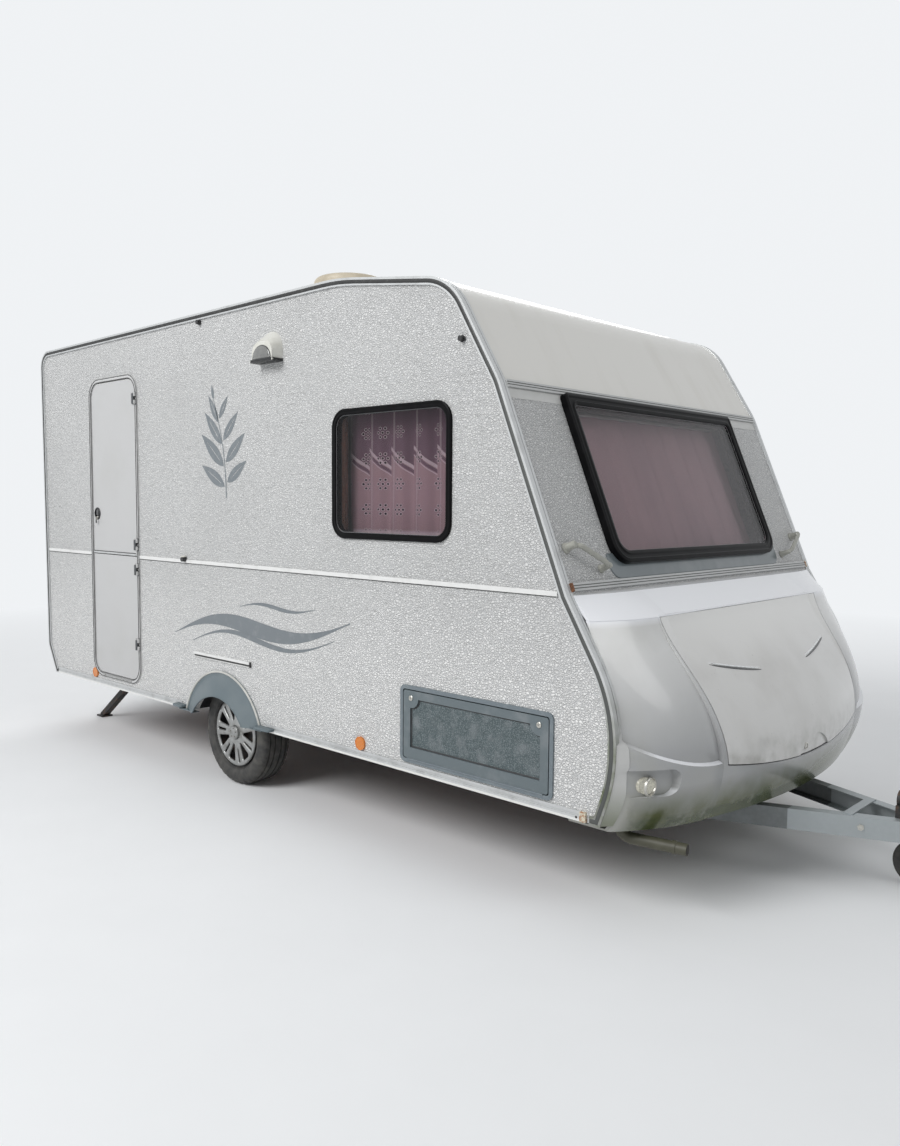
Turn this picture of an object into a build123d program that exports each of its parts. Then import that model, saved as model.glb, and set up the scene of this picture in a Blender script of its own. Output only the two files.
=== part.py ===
from build123d import *
import math
import os

# Travel caravan, millimetres. +X points forward along the drawbar, the door side is -Y, Z = 0 is
# the ground it is parked on, and the origin is the middle of its footprint.

os.makedirs("parts", exist_ok=True)

# Body
FAR = 9000
BODY_WIDTH = 2300
HALF = BODY_WIDTH / 2
WALL = 32
SKIRT_Z = 380
BELT_Z = 1265
FRONT_FOOT_X, FRONT_HEAD_X = 1662, 1302
FRONT_FOOT_Z, FRONT_HEAD_Z = 1260, 2130
REAR_FOOT_X, REAR_BEND_X, REAR_HEAD_X = -2856, -2970, -2995
REAR_BEND_Z, REAR_HEAD_Z = 576, 2664
REAR_CORNER_R = 110
ROOF_PEAK_X, ROOF_PEAK_Z = 292, 2685
BROW_X, BROW_Z, BROW_R = 1026, 2581, 290
CAP_REAR_X = 880
FLOOR_REAR_X = REAR_FOOT_X + 20
NOSE_EDGE_X, NOSE_EDGE_R = 1901, 640
NOSE_EDGE_HIGH_Z, NOSE_EDGE_LOW_Z = 862, 570
NOSE_TOE_X = 1834

# Nose moulding: bumper, cheeks that lie a step behind it, and a ledge on top
NOSE_SKIN = 8
NOSE_BACK_X = 1600
NOSE_FOOT_Z = 355
SHOULDER_Y, BEAD_Y = HALF - 150, HALF - 450
CHEEK_STEP_HIGH, CHEEK_STEP_LOW = 2, 18
BUMPER_TOP_X, BUMPER_TOP_Z, BUMPER_FALL = 2108, 600, 31
RIDGE_HIGH, RIDGE_LOW = 14, 36

# Lamp scoop in the bumper, and the lamp in it
LAMP_Y, LAMP_Z, LAMP_R, LAMP_PROUD = HALF - 103, 547, 33, 12
SCOOP_TOP_Z, SCOOP_FOOT_Z, SCOOP_END_R = 612, 504, 44
SCOOP_END_Y = HALF - 212
SCOOP_OUTER_X, SCOOP_END_X = 1911, 2020

# Locker lid, hinged along its top
LID_SKIN = 18
LID_BACK_X = 1680
LID_TOP_Z = 1165
LID_LOW_Z, LID_DIP_Z = 585, 530
LID_TOP_HALF = HALF - 378
LID_LOW_HALF = LID_TOP_HALF - 102
LID_GAP = 5
LID_HINGE_X = 1847
LID_HINGE_R = 4
HINGE_PLAY = 0.4
GRIP_Y, GRIP_TOP_Z, GRIP_R, GRIP_DEPTH = 20, 605, 200, 8
LOCK_Y, LOCK_Z, LOCK_R = -86, 566, 11

# Rails
EDGE_RAIL_WIDTH, EDGE_RAIL_LIP, EDGE_RAIL_PROUD = 32, 5, 10
EDGE_INSERT_IN, EDGE_INSERT, EDGE_INSERT_DEPTH = 6, 18, 4
EDGE_GROOVE, EDGE_GROOVE_DEPTH = 4, 2.5
SKIRT_REAR_X, SKIRT_FRONT_X = -2830, 1770
SKIRT_DEPTH, SKIRT_PROUD = 41, 8
SKIRT_GROOVE_UP, SKIRT_GROOVE, SKIRT_GROOVE_DEPTH = 20, 9, 4
BELT_DEPTH, BELT_PROUD = 20, 6
BELT_FRONT_X = FRONT_FOOT_X - EDGE_RAIL_WIDTH - 14
STRIP_REAR_X, STRIP_FRONT_X, STRIP_Z, STRIP_DEPTH, STRIP_PROUD = -1025, -466, 725, 30, 10
STRIP_GROOVE, STRIP_LIP = 11, 4
TRIM_HEIGHT, TRIM_PROUD, TRIM_GROOVE = 34, 12, 4

# Door, in two leaves
DOOR_REAR_X, DOOR_FRONT_X = -2275, -1645
DOOR_FOOT_Z, DOOR_HEAD_Z = 445, 2410
DOOR_CORNER_R = 120
DOOR_FRAME = 22
DOOR_FRAME_PROUD = 8
DOOR_PROUD = 4
DOOR_THICK = 30
DOOR_GAP = 5
DOOR_SPLIT_Z = 1267
DOOR_HINGE_OUT = 22
HINGE_R, HINGE_PIN_R, HINGE_LENGTH = 7, 3, 70
PIN_PLAY = 0.3
UPPER_HINGE_Z = (2256, 1343)
LOWER_HINGE_Z = (1186, 708)
HANDLE_X, HANDLE_Z, HANDLE_R = -2191, 1532, 40

# Side locker hatch
HATCH_REAR_X, HATCH_FRONT_X = 730, 1610
HATCH_FOOT_Z, HATCH_HEAD_Z = 428, 787
HATCH_CORNER_R = 30
HATCH_FRAME = 18
HATCH_PROUD = 8
HATCH_THICK = 26
HATCH_GAP = 5
HATCH_HINGE_R = 4
HATCH_RIM_SIDE, HATCH_RIM_TOP, HATCH_RIM_FOOT = 42, 37, 50
HATCH_POCKET = 9
HATCH_LOCK_IN, HATCH_LOCK_DOWN = 71, 58
HATCH_BOSS_R, HATCH_LOCK_R = 46, 13

# Windows
WINDOW_CORNER_R = 90
WINDOW_FRAME = 30
WINDOW_PROUD = 10
PANE_THICK = 16
FRONT_WINDOW_HALF = HALF - 385
FRONT_WINDOW_FOOT_Z, FRONT_WINDOW_HEAD_Z = 1360, 2095
FRONT_FRAME, FRONT_WINDOW_PROUD = 55, 30
FRONT_FOOT_R, FRONT_HEAD_R = 100, 24
REAR_WINDOW_HALF = HALF - 500
REAR_WINDOW_FOOT_Z, REAR_WINDOW_HEAD_Z = 1440, 2000
CURTAIN_THICK, CURTAIN_IN = 16, 70
CURTAIN_RAIL_R = 6
CURTAIN_RAIL_OVER, CURTAIN_FOOT_ROOM, CURTAIN_HEAD_ROOM, CURTAIN_SIDE_ROOM = 30, 10, 6, 14

# Wheels and axle
AXLE_X = -700
TYRE_R, TYRE_WIDTH = 298, 185
RIM_R = 178
WHEEL_Y = HALF - 138
COVER_R = 192
COVER_SPOKES = 7
AXLE_TUBE_X, AXLE_TUBE_Z, AXLE_TUBE_R = -530, 318, 42
SPINDLE_R = 20
DRUM_R, DRUM_WIDTH = 99, 90
ARM_THICK, ARM_PLAY = 28, 12
SPAT_X = -740
SPAT_OUTER_Z, SPAT_OUTER_R = 260, 395
SPAT_INNER_Z, SPAT_INNER_R = 210, 300
SPAT_PROUD, SPAT_SKIN = 48, 4
SPAT_BEAD, SPAT_BEAD_PROUD, SPAT_EDGE = 12, 7, 9
SPAT_FOOT, SPAT_FOOT_OUT = 5, 38
ARCH_R = 345
WELL_ROOM = 48
WELL_INNER_Y = WHEEL_Y - TYRE_WIDTH / 2 - WELL_ROOM
WELL_R = 375
WELL_SKIN = 4

# Chassis and drawbar
RAIL_Y, RAIL_DEPTH, RAIL_FLANGE, RAIL_GAUGE = 600, 110, 50, 4
RAIL_REAR_X, RAIL_FRONT_X = -2600, 1500
DRAWBAR_TOP_Z, DRAWBAR_DEPTH, DRAWBAR_FLANGE = 320, 90, 54
DRAWBAR_REAR_X, DRAWBAR_BEND_X, DRAWBAR_TIP_X = 900, 1283, 2700
DRAWBAR_SLOPE = 0.39
MEMBER_XS = (-2500, -1500, 400)
MEMBER_WIDTH, MEMBER_DEPTH = 40, 60
BRACE_X, BRACE_WIDTH, BRACE_GAUGE, BRACE_EDGE = 2400, 40, 5, 12
COUPLING_Z = 392
COUPLING_TIP_X = 3040
BALL_SOCKET_R = 25.2
HEAD_R = 38
BALL_X = COUPLING_TIP_X - HEAD_R
NECK_R, NECK_LENGTH, NECK_COVER = 31, 65, 25
NECK_FRONT_X = BALL_X - 27
NECK_REAR_X = NECK_FRONT_X - NECK_LENGTH
SHAFT_R, SHAFT_BARE = 25, 120
HOUSING_LENGTH, HOUSING_HALF, HOUSING_R = 230, 46, 36
HOUSING_FRONT_X = NECK_REAR_X - SHAFT_BARE
HOUSING_REAR_X = HOUSING_FRONT_X - HOUSING_LENGTH
BELLOWS_R, BELLOWS_RINGS, BELLOWS_PITCH = 33, 5, 22
LEVER_X, LEVER_LEAN = HOUSING_REAR_X + 30, 18
JOCKEY_X, JOCKEY_Y = 2660, 104
JOCKEY_TUBE_R, JOCKEY_WHEEL_R, JOCKEY_WHEEL_WIDTH = 24, 100, 52
JOCKEY_TRAIL = 45
JOCKEY_TUBE_FOOT_Z, JOCKEY_TUBE_HEAD_Z = 215, 640
JOCKEY_CRANK_Z, JOCKEY_CRANK_OUT = 686, 106
JOCKEY_AXLE_R, FORK_GAUGE, FORK_FOOT_Z = 7, 4, 84

# Corner steadies
STEADY_Y = HALF - 350
STEADY_PIVOT_Z = 325
REAR_STEADY_X, REAR_STEADY_FOOT_X = -2420, -2860
FRONT_STEADY_X, FRONT_STEADY_FOOT_X, FRONT_STEADY_FOOT_Z = 1250, 850, 270
STEADY_HALF, STEADY_PLATE = 30, 4

# Fittings
REFLECTOR_XS, REFLECTOR_Z, REFLECTOR_R, REFLECTOR_PROUD = (-2262, 449), 455, 33, 9
REAR_LIGHT_Y, REAR_LIGHT_WIDTH, REAR_LIGHT_PROUD = HALF - 90, 100, 60
REAR_PANEL_HALF, REAR_PANEL_FOOT_Z, REAR_PANEL_HEAD_Z, REAR_PANEL_PROUD = HALF - 220, 600, 860, 70
AWNING_LAMP_X, AWNING_LAMP_Z, AWNING_LAMP_PROUD = -252, 2350, 64
VENT_X, VENT_Y, VENT_R = -60, -HALF + 370, 190
VENT_NECK_R, VENT_LIFT, VENT_EDGE, VENT_DOME = 168, 62, 46, 150
GRAB_R, GRAB_BEND, GRAB_REACH, GRAB_SINK = 11, 34, 58, 8
DRAIN_R, DRAIN_BORE_R, DRAIN_BEND = 23.5, 20, 60
KNOB_R, CATCH_R = 12, 14

# Hidden side: fridge vents in the left wall, a rooflight and grab handles at the rear corners
FRIDGE_VENT_X, FRIDGE_VENT_ZS = -1800, (700, 1450)
FRIDGE_VENT_WIDTH, FRIDGE_VENT_HEIGHT, FRIDGE_VENT_PROUD, FRIDGE_LOUVRES = 480, 230, 12, 7
ROOFLIGHT_X, ROOFLIGHT_WIDTH, ROOFLIGHT_CURB, ROOFLIGHT_RISE = -1350, 430, 30, 40
REAR_GRAB_Y, REAR_GRAB_Z, REAR_GRAB_LENGTH, REAR_GRAB_REACH = HALF - 110, 1080, 190, 45


def outline(rows):
    """Closed face through the (x, y, corner radius) rows."""
    corners = [(x, y) for x, y, radius in rows]
    return make_face(FilletPolyline(*corners, radius=[radius for x, y, radius in rows], close=True))


def block(x0, x1, y0, y1, z0, z1):
    """Box between two opposite corners."""
    size = (x1 - x0, y1 - y0, z1 - z0)
    return Pos((x0 + x1) / 2, (y0 + y1) / 2, (z0 + z1) / 2) * Box(*size)


def above(z):
    return block(-FAR, FAR, -FAR, FAR, z, FAR)


def below(z):
    return block(-FAR, FAR, -FAR, FAR, -FAR, z)


def ahead_of(x):
    return block(x, FAR, -FAR, FAR, -FAR, FAR)


def behind(x):
    return block(-FAR, x, -FAR, FAR, -FAR, FAR)


def rod_x(radius, x0, x1, y, z):
    return Pos((x0 + x1) / 2, y, z) * Rot(0, 90, 0) * Cylinder(radius, x1 - x0)


def rod_y(radius, y0, y1, x, z):
    return Pos(x, (y0 + y1) / 2, z) * Rot(90, 0, 0) * Cylinder(radius, y1 - y0)


def rod_z(radius, z0, z1, x, y):
    return Pos(x, y, (z0 + z1) / 2) * Cylinder(radius, z1 - z0)


def on_side(face, inner, outer):
    """Slab on the door side, from |Y| = inner out to |Y| = outer."""
    return extrude(Plane.XZ.offset(inner) * face, outer - inner)


def frame_face(x0, x1, z0, z1, radius, inset=0):
    """Rounded rectangle on the side wall, moved in from its edge by the inset."""
    width, height = x1 - x0 - 2 * inset, z1 - z0 - 2 * inset
    return Pos((x0 + x1) / 2, (z0 + z1) / 2) * RectangleRounded(width, height, max(radius - inset, 2))


def left_of(shape):
    """The same piece on the other side of the caravan."""
    return mirror(shape, about=Plane.XZ)


def pair(shape):
    return Compound([*shape.solids(), *left_of(shape).solids()])


def save(shape, node):
    export_step(shape, f"parts/{node}.step")


# Side outline, as the edge of the side walls
side_rows = (
    # x, z, corner radius
    (REAR_FOOT_X, SKIRT_Z, 0),
    (REAR_BEND_X, REAR_BEND_Z, 60),
    (REAR_HEAD_X, REAR_HEAD_Z, REAR_CORNER_R),
    (ROOF_PEAK_X, ROOF_PEAK_Z, 1500),
    (BROW_X, BROW_Z, BROW_R),
    (FRONT_HEAD_X, FRONT_HEAD_Z, 300),
    (FRONT_FOOT_X, FRONT_FOOT_Z, 0),
    (NOSE_EDGE_X, NOSE_EDGE_HIGH_Z, NOSE_EDGE_R),
    (NOSE_EDGE_X, NOSE_EDGE_LOW_Z, NOSE_EDGE_R),
    (NOSE_TOE_X, SKIRT_Z, 0),
)
side_face = outline(side_rows)
cabin_face = outline(side_rows[:7] + ((FRONT_FOOT_X, SKIRT_Z, 0),))
room_face = offset(cabin_face, amount=-WALL, kind=Kind.INTERSECTION)

door_opening = frame_face(DOOR_REAR_X, DOOR_FRONT_X, DOOR_FOOT_Z, DOOR_HEAD_Z, DOOR_CORNER_R, DOOR_FRAME)
door_cut = frame_face(DOOR_REAR_X, DOOR_FRONT_X, DOOR_FOOT_Z, DOOR_HEAD_Z, DOOR_CORNER_R, DOOR_FRAME / 2)
hatch_opening = frame_face(HATCH_REAR_X, HATCH_FRONT_X, HATCH_FOOT_Z, HATCH_HEAD_Z, HATCH_CORNER_R,
                           HATCH_FRAME)
hatch_cut = frame_face(HATCH_REAR_X, HATCH_FRONT_X, HATCH_FOOT_Z, HATCH_HEAD_Z, HATCH_CORNER_R,
                       HATCH_FRAME / 2)

side_windows = (
    # side (right -1, left 1), rear x, front x, foot z, head z
    (-1, 244, 1041, 1444, 2066),
    (1, 244, 1041, 1444, 2066),
    (1, -1150, -420, 1520, 1990),
)

# Side walls, each an upper and a lower sheet that meet under the belt rail
inner_half = HALF - WALL
wall_slab = on_side(side_face, inner_half, HALF)
arch_cut = rod_y(ARCH_R, -HALF - 1, -inner_half + 1, SPAT_X, SPAT_INNER_Z)


def window_face(row, inset):
    side, x0, x1, z0, z1 = row
    return frame_face(x0, x1, z0, z1, WINDOW_CORNER_R, inset)


def to_side(shape, side):
    return shape if side < 0 else left_of(shape)


right_wall = wall_slab - on_side(door_cut, inner_half - 1, HALF + 1)
right_wall -= on_side(hatch_cut, inner_half - 1, HALF + 1)
right_wall -= arch_cut
left_wall = wall_slab - arch_cut
for row in side_windows:
    hole = on_side(window_face(row, WINDOW_FRAME / 2), inner_half - 1, HALF + 1)
    if row[0] < 0:
        right_wall -= hole
    else:
        left_wall -= hole
left_wall = left_of(left_wall)
save(right_wall & above(BELT_Z), "side_upper_right")
save(right_wall & below(BELT_Z), "side_lower_right")
save(left_wall & above(BELT_Z), "side_upper_left")
save(left_wall & below(BELT_Z), "side_lower_left")

# Cabin shell between the side walls
shell = extrude(Plane.XZ * cabin_face, inner_half, both=True)
shell -= extrude(Plane.XZ * room_face, inner_half, both=True)
well_cut = Compound([rod_y(WELL_R + WELL_SKIN, y0, y1, AXLE_X, TYRE_R)
                     for y0, y1 in ((-inner_half, -WELL_INNER_Y), (WELL_INNER_Y, inner_half))])

floor = shell & ahead_of(FLOOR_REAR_X) & behind(FRONT_FOOT_X - WALL) & below(SKIRT_Z + WALL)
save(floor - well_cut, "floor")
rear_split_z = REAR_HEAD_Z - REAR_CORNER_R - 10
rear_wall = shell & behind(FLOOR_REAR_X) & below(rear_split_z)
rear_window_face = Pos(0, (REAR_WINDOW_FOOT_Z + REAR_WINDOW_HEAD_Z) / 2) * RectangleRounded(
    2 * REAR_WINDOW_HALF - WINDOW_FRAME, REAR_WINDOW_HEAD_Z - REAR_WINDOW_FOOT_Z - WINDOW_FRAME,
    WINDOW_CORNER_R - WINDOW_FRAME / 2)
rear_wall -= extrude(Plane.YZ.offset(REAR_HEAD_X - WALL) * rear_window_face, 4 * WALL)
save(rear_wall, "rear_wall")
save(shell & behind(CAP_REAR_X) & above(rear_split_z), "roof")
save(shell & ahead_of(CAP_REAR_X) & above(FRONT_HEAD_Z), "front_cap")

# Front wall and its window, drawn on the sloping plane
slope = math.atan2(FRONT_FOOT_X - FRONT_HEAD_X, FRONT_HEAD_Z - FRONT_FOOT_Z)


def slope_x(z):
    return FRONT_FOOT_X - (z - FRONT_FOOT_Z) * math.tan(slope)


window_mid_z = (FRONT_WINDOW_FOOT_Z + FRONT_WINDOW_HEAD_Z) / 2
front_plane = Plane(
    origin=(slope_x(window_mid_z), 0, window_mid_z),
    x_dir=(0, 1, 0),
    z_dir=(math.cos(slope), 0, math.sin(slope)),
)
front_window_height = (FRONT_WINDOW_HEAD_Z - FRONT_WINDOW_FOOT_Z) / math.cos(slope)


def front_rect(inset):
    """Front window's outline, moved in: large corners at its foot, tight ones at its head."""
    half, high = FRONT_WINDOW_HALF - inset, front_window_height / 2 - inset
    foot_r, head_r = FRONT_FOOT_R - 0.7 * inset, FRONT_HEAD_R
    return outline(((-half, -high, foot_r), (half, -high, foot_r), (half, high, head_r),
                    (-half, high, head_r)))


front_wall = shell & ahead_of(0) & above(BELT_Z) & below(FRONT_HEAD_Z)
front_wall -= extrude(front_plane.offset(-2 * WALL) * front_rect(FRONT_FRAME / 2), 3 * WALL)
save(front_wall, "front_wall")
save(shell & ahead_of(FRONT_FOOT_X - WALL) & below(BELT_Z), "bulkhead")

# Nose moulding
nose_rows = (
    # z, x at the side edge, x at the shoulder, x at the bead, x at the centre
    (NOSE_FOOT_Z, 1820, 1940, 2050, 2135),
    (550, 1897, 2025, 2112, 2192),
    (780, 1888, 2008, 2078, 2135),
    (990, 1818, 1905, 1945, 1975),
    (LID_TOP_Z, 1720, 1812, 1843, 1852),
    (FRONT_FOOT_Z, 1660, 1695, 1713, 1720),
)


def nose_section(z, side_x, shoulder_x, bead_x, centre_x, inset):
    """Plan outline of the nose at one height, moved inward by the inset."""
    half, shoulder_y = HALF - inset, SHOULDER_Y - 0.6 * inset
    side_x, shoulder_x, bead_x, centre_x = (x - inset for x in (side_x, shoulder_x, bead_x, centre_x))
    edges = [
        Line((NOSE_BACK_X, half), (NOSE_BACK_X, -half)),
        Line((NOSE_BACK_X, -half), (side_x, -half)),
        ThreePointArc((side_x, -half), (shoulder_x, -shoulder_y), (bead_x, -BEAD_Y)),
        ThreePointArc((bead_x, -BEAD_Y), (centre_x, 0), (bead_x, BEAD_Y)),
        ThreePointArc((bead_x, BEAD_Y), (shoulder_x, shoulder_y), (side_x, half)),
        Line((side_x, half), (NOSE_BACK_X, half)),
    ]
    return Pos(0, 0, z) * make_face(Wire(edges))


def cheek_step(z):
    """How far the cheeks lie behind the bumper's surface at a height."""
    share = (LID_TOP_Z - z) / (LID_TOP_Z - BUMPER_TOP_Z)
    return CHEEK_STEP_HIGH + (CHEEK_STEP_LOW - CHEEK_STEP_HIGH) * min(max(share, 0), 1)


def nose_solid(inset, cheeks=False):
    """Nose moved inward, smooth up to the lid's top and with a flat ledge over it."""
    rows = list(nose_rows)
    rows[0] = (rows[0][0] + inset,) + rows[0][1:]
    rows[-1] = (rows[-1][0] - inset,) + rows[-1][1:]
    sections = [nose_section(*row, inset + cheek_step(row[0]) * cheeks) for row in rows]
    return loft(sections[:-1]) + loft(sections[-2:])


def lid_prism(top_grow, low_grow):
    """Forward prism over the lid's outline, grown at its upper and lower corners."""
    top, low_half = LID_TOP_HALF + top_grow, LID_LOW_HALF + low_grow
    low_z, dip_z = LID_LOW_Z - low_grow, LID_DIP_Z - low_grow
    edges = [
        Line((-top, LID_TOP_Z), (-low_half, low_z)),
        ThreePointArc((-low_half, low_z), (0, dip_z), (low_half, low_z)),
        Line((low_half, low_z), (top, LID_TOP_Z)),
        Line((top, LID_TOP_Z), (-top, LID_TOP_Z)),
    ]
    return extrude(Plane.YZ.offset(LID_BACK_X) * make_face(Wire(edges)), FAR)


def scoop(grow):
    """Cut for the door side's lamp: its floor faces forward, so it deepens towards the middle."""
    round_end = outline((
        (-HALF - 20, SCOOP_FOOT_Z - grow, 0),
        (grow - SCOOP_END_Y, SCOOP_FOOT_Z - grow, SCOOP_END_R + grow),
        (grow - SCOOP_END_Y, SCOOP_TOP_Z + grow, SCOOP_END_R + grow),
        (-HALF - 20, SCOOP_TOP_Z + grow, 0),
    ))
    lean = (SCOOP_END_X - SCOOP_OUTER_X) / (HALF - SCOOP_END_Y)
    plan = make_face(Polyline(
        (SCOOP_OUTER_X - 20 * lean - grow, -HALF - 20), (SCOOP_END_X + 20 * lean - grow, 20 - SCOOP_END_Y),
        (FAR, 20 - SCOOP_END_Y), (FAR, -HALF - 20), close=True))
    ahead = extrude(Plane.YZ.offset(NOSE_BACK_X) * round_end, FAR)
    return ahead & extrude(Pos(0, 0, NOSE_FOOT_Z) * plan, LID_TOP_Z - NOSE_FOOT_Z)


def nose_form(inset):
    """Nose as it shows: bumper, ledge and lid surround stand proud of the cheeks."""
    proud = nose_solid(inset)
    bumper_zone = Pos(BUMPER_TOP_X, 0, BUMPER_TOP_Z) * Rot(0, BUMPER_FALL, 0) * below(-inset)
    form = nose_solid(inset, cheeks=True) + (proud & bumper_zone)
    form += proud & lid_prism(RIDGE_HIGH - inset / 2, RIDGE_LOW - inset)
    form += proud & above(LID_TOP_Z)
    return form - scoop(inset) - left_of(scoop(inset))


nose_outer = nose_form(0)
nose = (nose_outer - nose_form(NOSE_SKIN)) & ahead_of(FRONT_FOOT_X)
nose &= block(-FAR, FAR, -inner_half, inner_half, -FAR, FAR)
hinge_half = LID_TOP_HALF + LID_GAP
nose -= lid_prism(LID_GAP, LID_GAP)
nose -= block(LID_BACK_X, FAR, -hinge_half, hinge_half, LID_TOP_Z - 1, LID_TOP_Z + LID_HINGE_R - 1)
nose += rod_y(LID_HINGE_R, -hinge_half, hinge_half, LID_HINGE_X, LID_TOP_Z)
save(nose, "nose")

lid_outer = nose_solid(0)
lid = (lid_outer - nose_solid(LID_SKIN)) & lid_prism(0, 0) & below(LID_TOP_Z - LID_HINGE_R - HINGE_PLAY)
grip = rod_x(GRIP_R, LID_BACK_X, FAR, GRIP_Y, GRIP_TOP_Z - GRIP_R)
lid -= grip & (lid_outer - nose_solid(GRIP_DEPTH))
lid += rod_x(LOCK_R, LID_BACK_X, FAR, LOCK_Y, LOCK_Z) & (lid_outer - nose_solid(LID_SKIN))
save(lid, "locker_lid")

# Edge rail round each side: it wraps the wall's edge, holds a rubber insert in its side flange and
# has a drawn line along its other flange


def moved_edge(amount):
    """Side outline moved outward by the amount."""
    return offset(side_face, amount=amount, kind=Kind.INTERSECTION)


edge_outer = moved_edge(EDGE_RAIL_LIP)
edge_ring = on_side(edge_outer, inner_half, HALF + EDGE_RAIL_PROUD) & above(SKIRT_Z)
edge_ring -= on_side(side_face, inner_half - 1, HALF)
edge_ring -= on_side(moved_edge(-EDGE_RAIL_WIDTH), HALF - 1, HALF + EDGE_RAIL_PROUD + 1)
insert_floor = HALF + EDGE_RAIL_PROUD - EDGE_INSERT_DEPTH
insert_groove = on_side(moved_edge(-EDGE_INSERT_IN), insert_floor, HALF + EDGE_RAIL_PROUD + 1)
insert_groove -= on_side(moved_edge(-EDGE_INSERT_IN - EDGE_INSERT), insert_floor - 1,
                         HALF + EDGE_RAIL_PROUD + 2)
edge_ring -= insert_groove
groove_half = HALF - WALL / 2
line_groove = on_side(moved_edge(EDGE_RAIL_LIP + 1), groove_half - EDGE_GROOVE / 2,
                      groove_half + EDGE_GROOVE / 2)
line_groove -= on_side(moved_edge(EDGE_RAIL_LIP - EDGE_GROOVE_DEPTH), groove_half - EDGE_GROOVE,
                       groove_half + EDGE_GROOVE)
edge_ring -= line_groove
edge_ring -= block(SKIRT_REAR_X - 5, SKIRT_FRONT_X + 20, -FAR, FAR, SKIRT_Z - 10,
                   SKIRT_Z + EDGE_RAIL_WIDTH + 12)
save(pair(edge_ring), "edge_rails")

# Belt and skirt rails

def rear_x(z):
    """Outer face of the rear wall at a height above its bend."""
    return REAR_BEND_X + (REAR_HEAD_X - REAR_BEND_X) * (z - REAR_BEND_Z) / (REAR_HEAD_Z - REAR_BEND_Z)


def side_strip(x0, x1, z0, z1, proud):
    return block(x0, x1, -HALF - proud, -HALF, z0, z1)


belt_rear_x = rear_x(BELT_Z) + EDGE_RAIL_WIDTH + 6
belt_low_z, belt_high_z = BELT_Z - BELT_DEPTH / 2, BELT_Z + BELT_DEPTH / 2
strip_low_z = STRIP_Z - STRIP_DEPTH / 2
wheel_strip = side_strip(STRIP_REAR_X, STRIP_FRONT_X, strip_low_z, STRIP_Z + STRIP_DEPTH / 2, STRIP_PROUD)
wheel_strip -= block(STRIP_REAR_X - 1, STRIP_FRONT_X + 1, -FAR, -HALF - 2, strip_low_z + STRIP_LIP,
                     strip_low_z + STRIP_LIP + STRIP_GROOVE)
belt_pieces = [
    side_strip(belt_rear_x, DOOR_REAR_X, belt_low_z, belt_high_z, BELT_PROUD),
    side_strip(DOOR_FRONT_X, BELT_FRONT_X, belt_low_z, belt_high_z, BELT_PROUD),
    left_of(side_strip(belt_rear_x, BELT_FRONT_X, belt_low_z, belt_high_z, BELT_PROUD)),
    wheel_strip,
]
save(Compound(belt_pieces), "belt_rails")

skirt_top_z = SKIRT_Z + SKIRT_DEPTH
spat_foot_half = math.sqrt(SPAT_OUTER_R ** 2 - (SKIRT_Z - SPAT_OUTER_Z) ** 2) + SPAT_FOOT_OUT
skirt_half_gap = spat_foot_half + SKIRT_PROUD
skirt_pieces = [
    side_strip(SKIRT_REAR_X, SPAT_X - skirt_half_gap, SKIRT_Z, skirt_top_z, SKIRT_PROUD),
    side_strip(SPAT_X + skirt_half_gap, SKIRT_FRONT_X, SKIRT_Z, skirt_top_z, SKIRT_PROUD),
]
skirt_groove = side_strip(-FAR, FAR, SKIRT_Z + SKIRT_GROOVE_UP, SKIRT_Z + SKIRT_GROOVE_UP + SKIRT_GROOVE, FAR)
skirt_groove &= block(-FAR, FAR, -FAR, -HALF - SKIRT_PROUD + SKIRT_GROOVE_DEPTH, -FAR, FAR)
skirt_pieces = [piece - skirt_groove for piece in skirt_pieces]
save(Compound([*skirt_pieces, *[left_of(piece) for piece in skirt_pieces]]), "skirt_rails")

# Aluminium trims across the front: above the window and on the ledge over the nose
trims = []
for z in (FRONT_HEAD_Z - TRIM_HEIGHT, FRONT_FOOT_Z + 12):
    plane = Plane(origin=(slope_x(z), 0, z), x_dir=(0, 1, 0), z_dir=front_plane.z_dir)
    trim_face = Pos(0, TRIM_HEIGHT / 2) * Rectangle(2 * inner_half, TRIM_HEIGHT)
    trim = extrude(plane * trim_face, TRIM_PROUD)
    for height in (TRIM_HEIGHT / 3, 2 * TRIM_HEIGHT / 3):
        groove = Pos(0, height) * Rectangle(2 * inner_half + 2, TRIM_GROOVE)
        trim -= extrude(plane.offset(TRIM_PROUD - TRIM_GROOVE) * groove, 2 * TRIM_GROOVE)
    trims.append(trim)
save(Compound(trims), "front_trims")

# Wheel spats, wells and wheels


def spat_hood(skin):
    """Hood that slopes out from the wall to the wheel opening's edge, moved inward by the skin."""
    at_wall = Pos(SPAT_X, SPAT_OUTER_Z) * Circle(SPAT_OUTER_R - SPAT_BEAD - skin)
    at_edge = Pos(SPAT_X, SPAT_INNER_Z) * Circle(SPAT_INNER_R + SPAT_EDGE - skin)
    return loft([Plane.XZ.offset(HALF) * at_wall, Plane.XZ.offset(HALF + SPAT_PROUD - skin) * at_edge])


spat_bead = Pos(SPAT_X, SPAT_OUTER_Z) * Circle(SPAT_OUTER_R)
wheel_hole = Pos(SPAT_X, SPAT_INNER_Z) * Circle(SPAT_INNER_R)
spat = spat_hood(0) + on_side(spat_bead, HALF, HALF + SPAT_BEAD_PROUD)
spat -= spat_hood(SPAT_SKIN) & above(SKIRT_Z + SPAT_FOOT)
spat += block(SPAT_X - spat_foot_half, SPAT_X + spat_foot_half, -HALF - SPAT_PROUD * 0.7, -HALF, SKIRT_Z,
              SKIRT_Z + SPAT_FOOT)
spat -= on_side(wheel_hole, HALF - 1, HALF + SPAT_PROUD + 1)
spat &= above(SKIRT_Z)
save(pair(spat), "wheel_spats")

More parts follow.
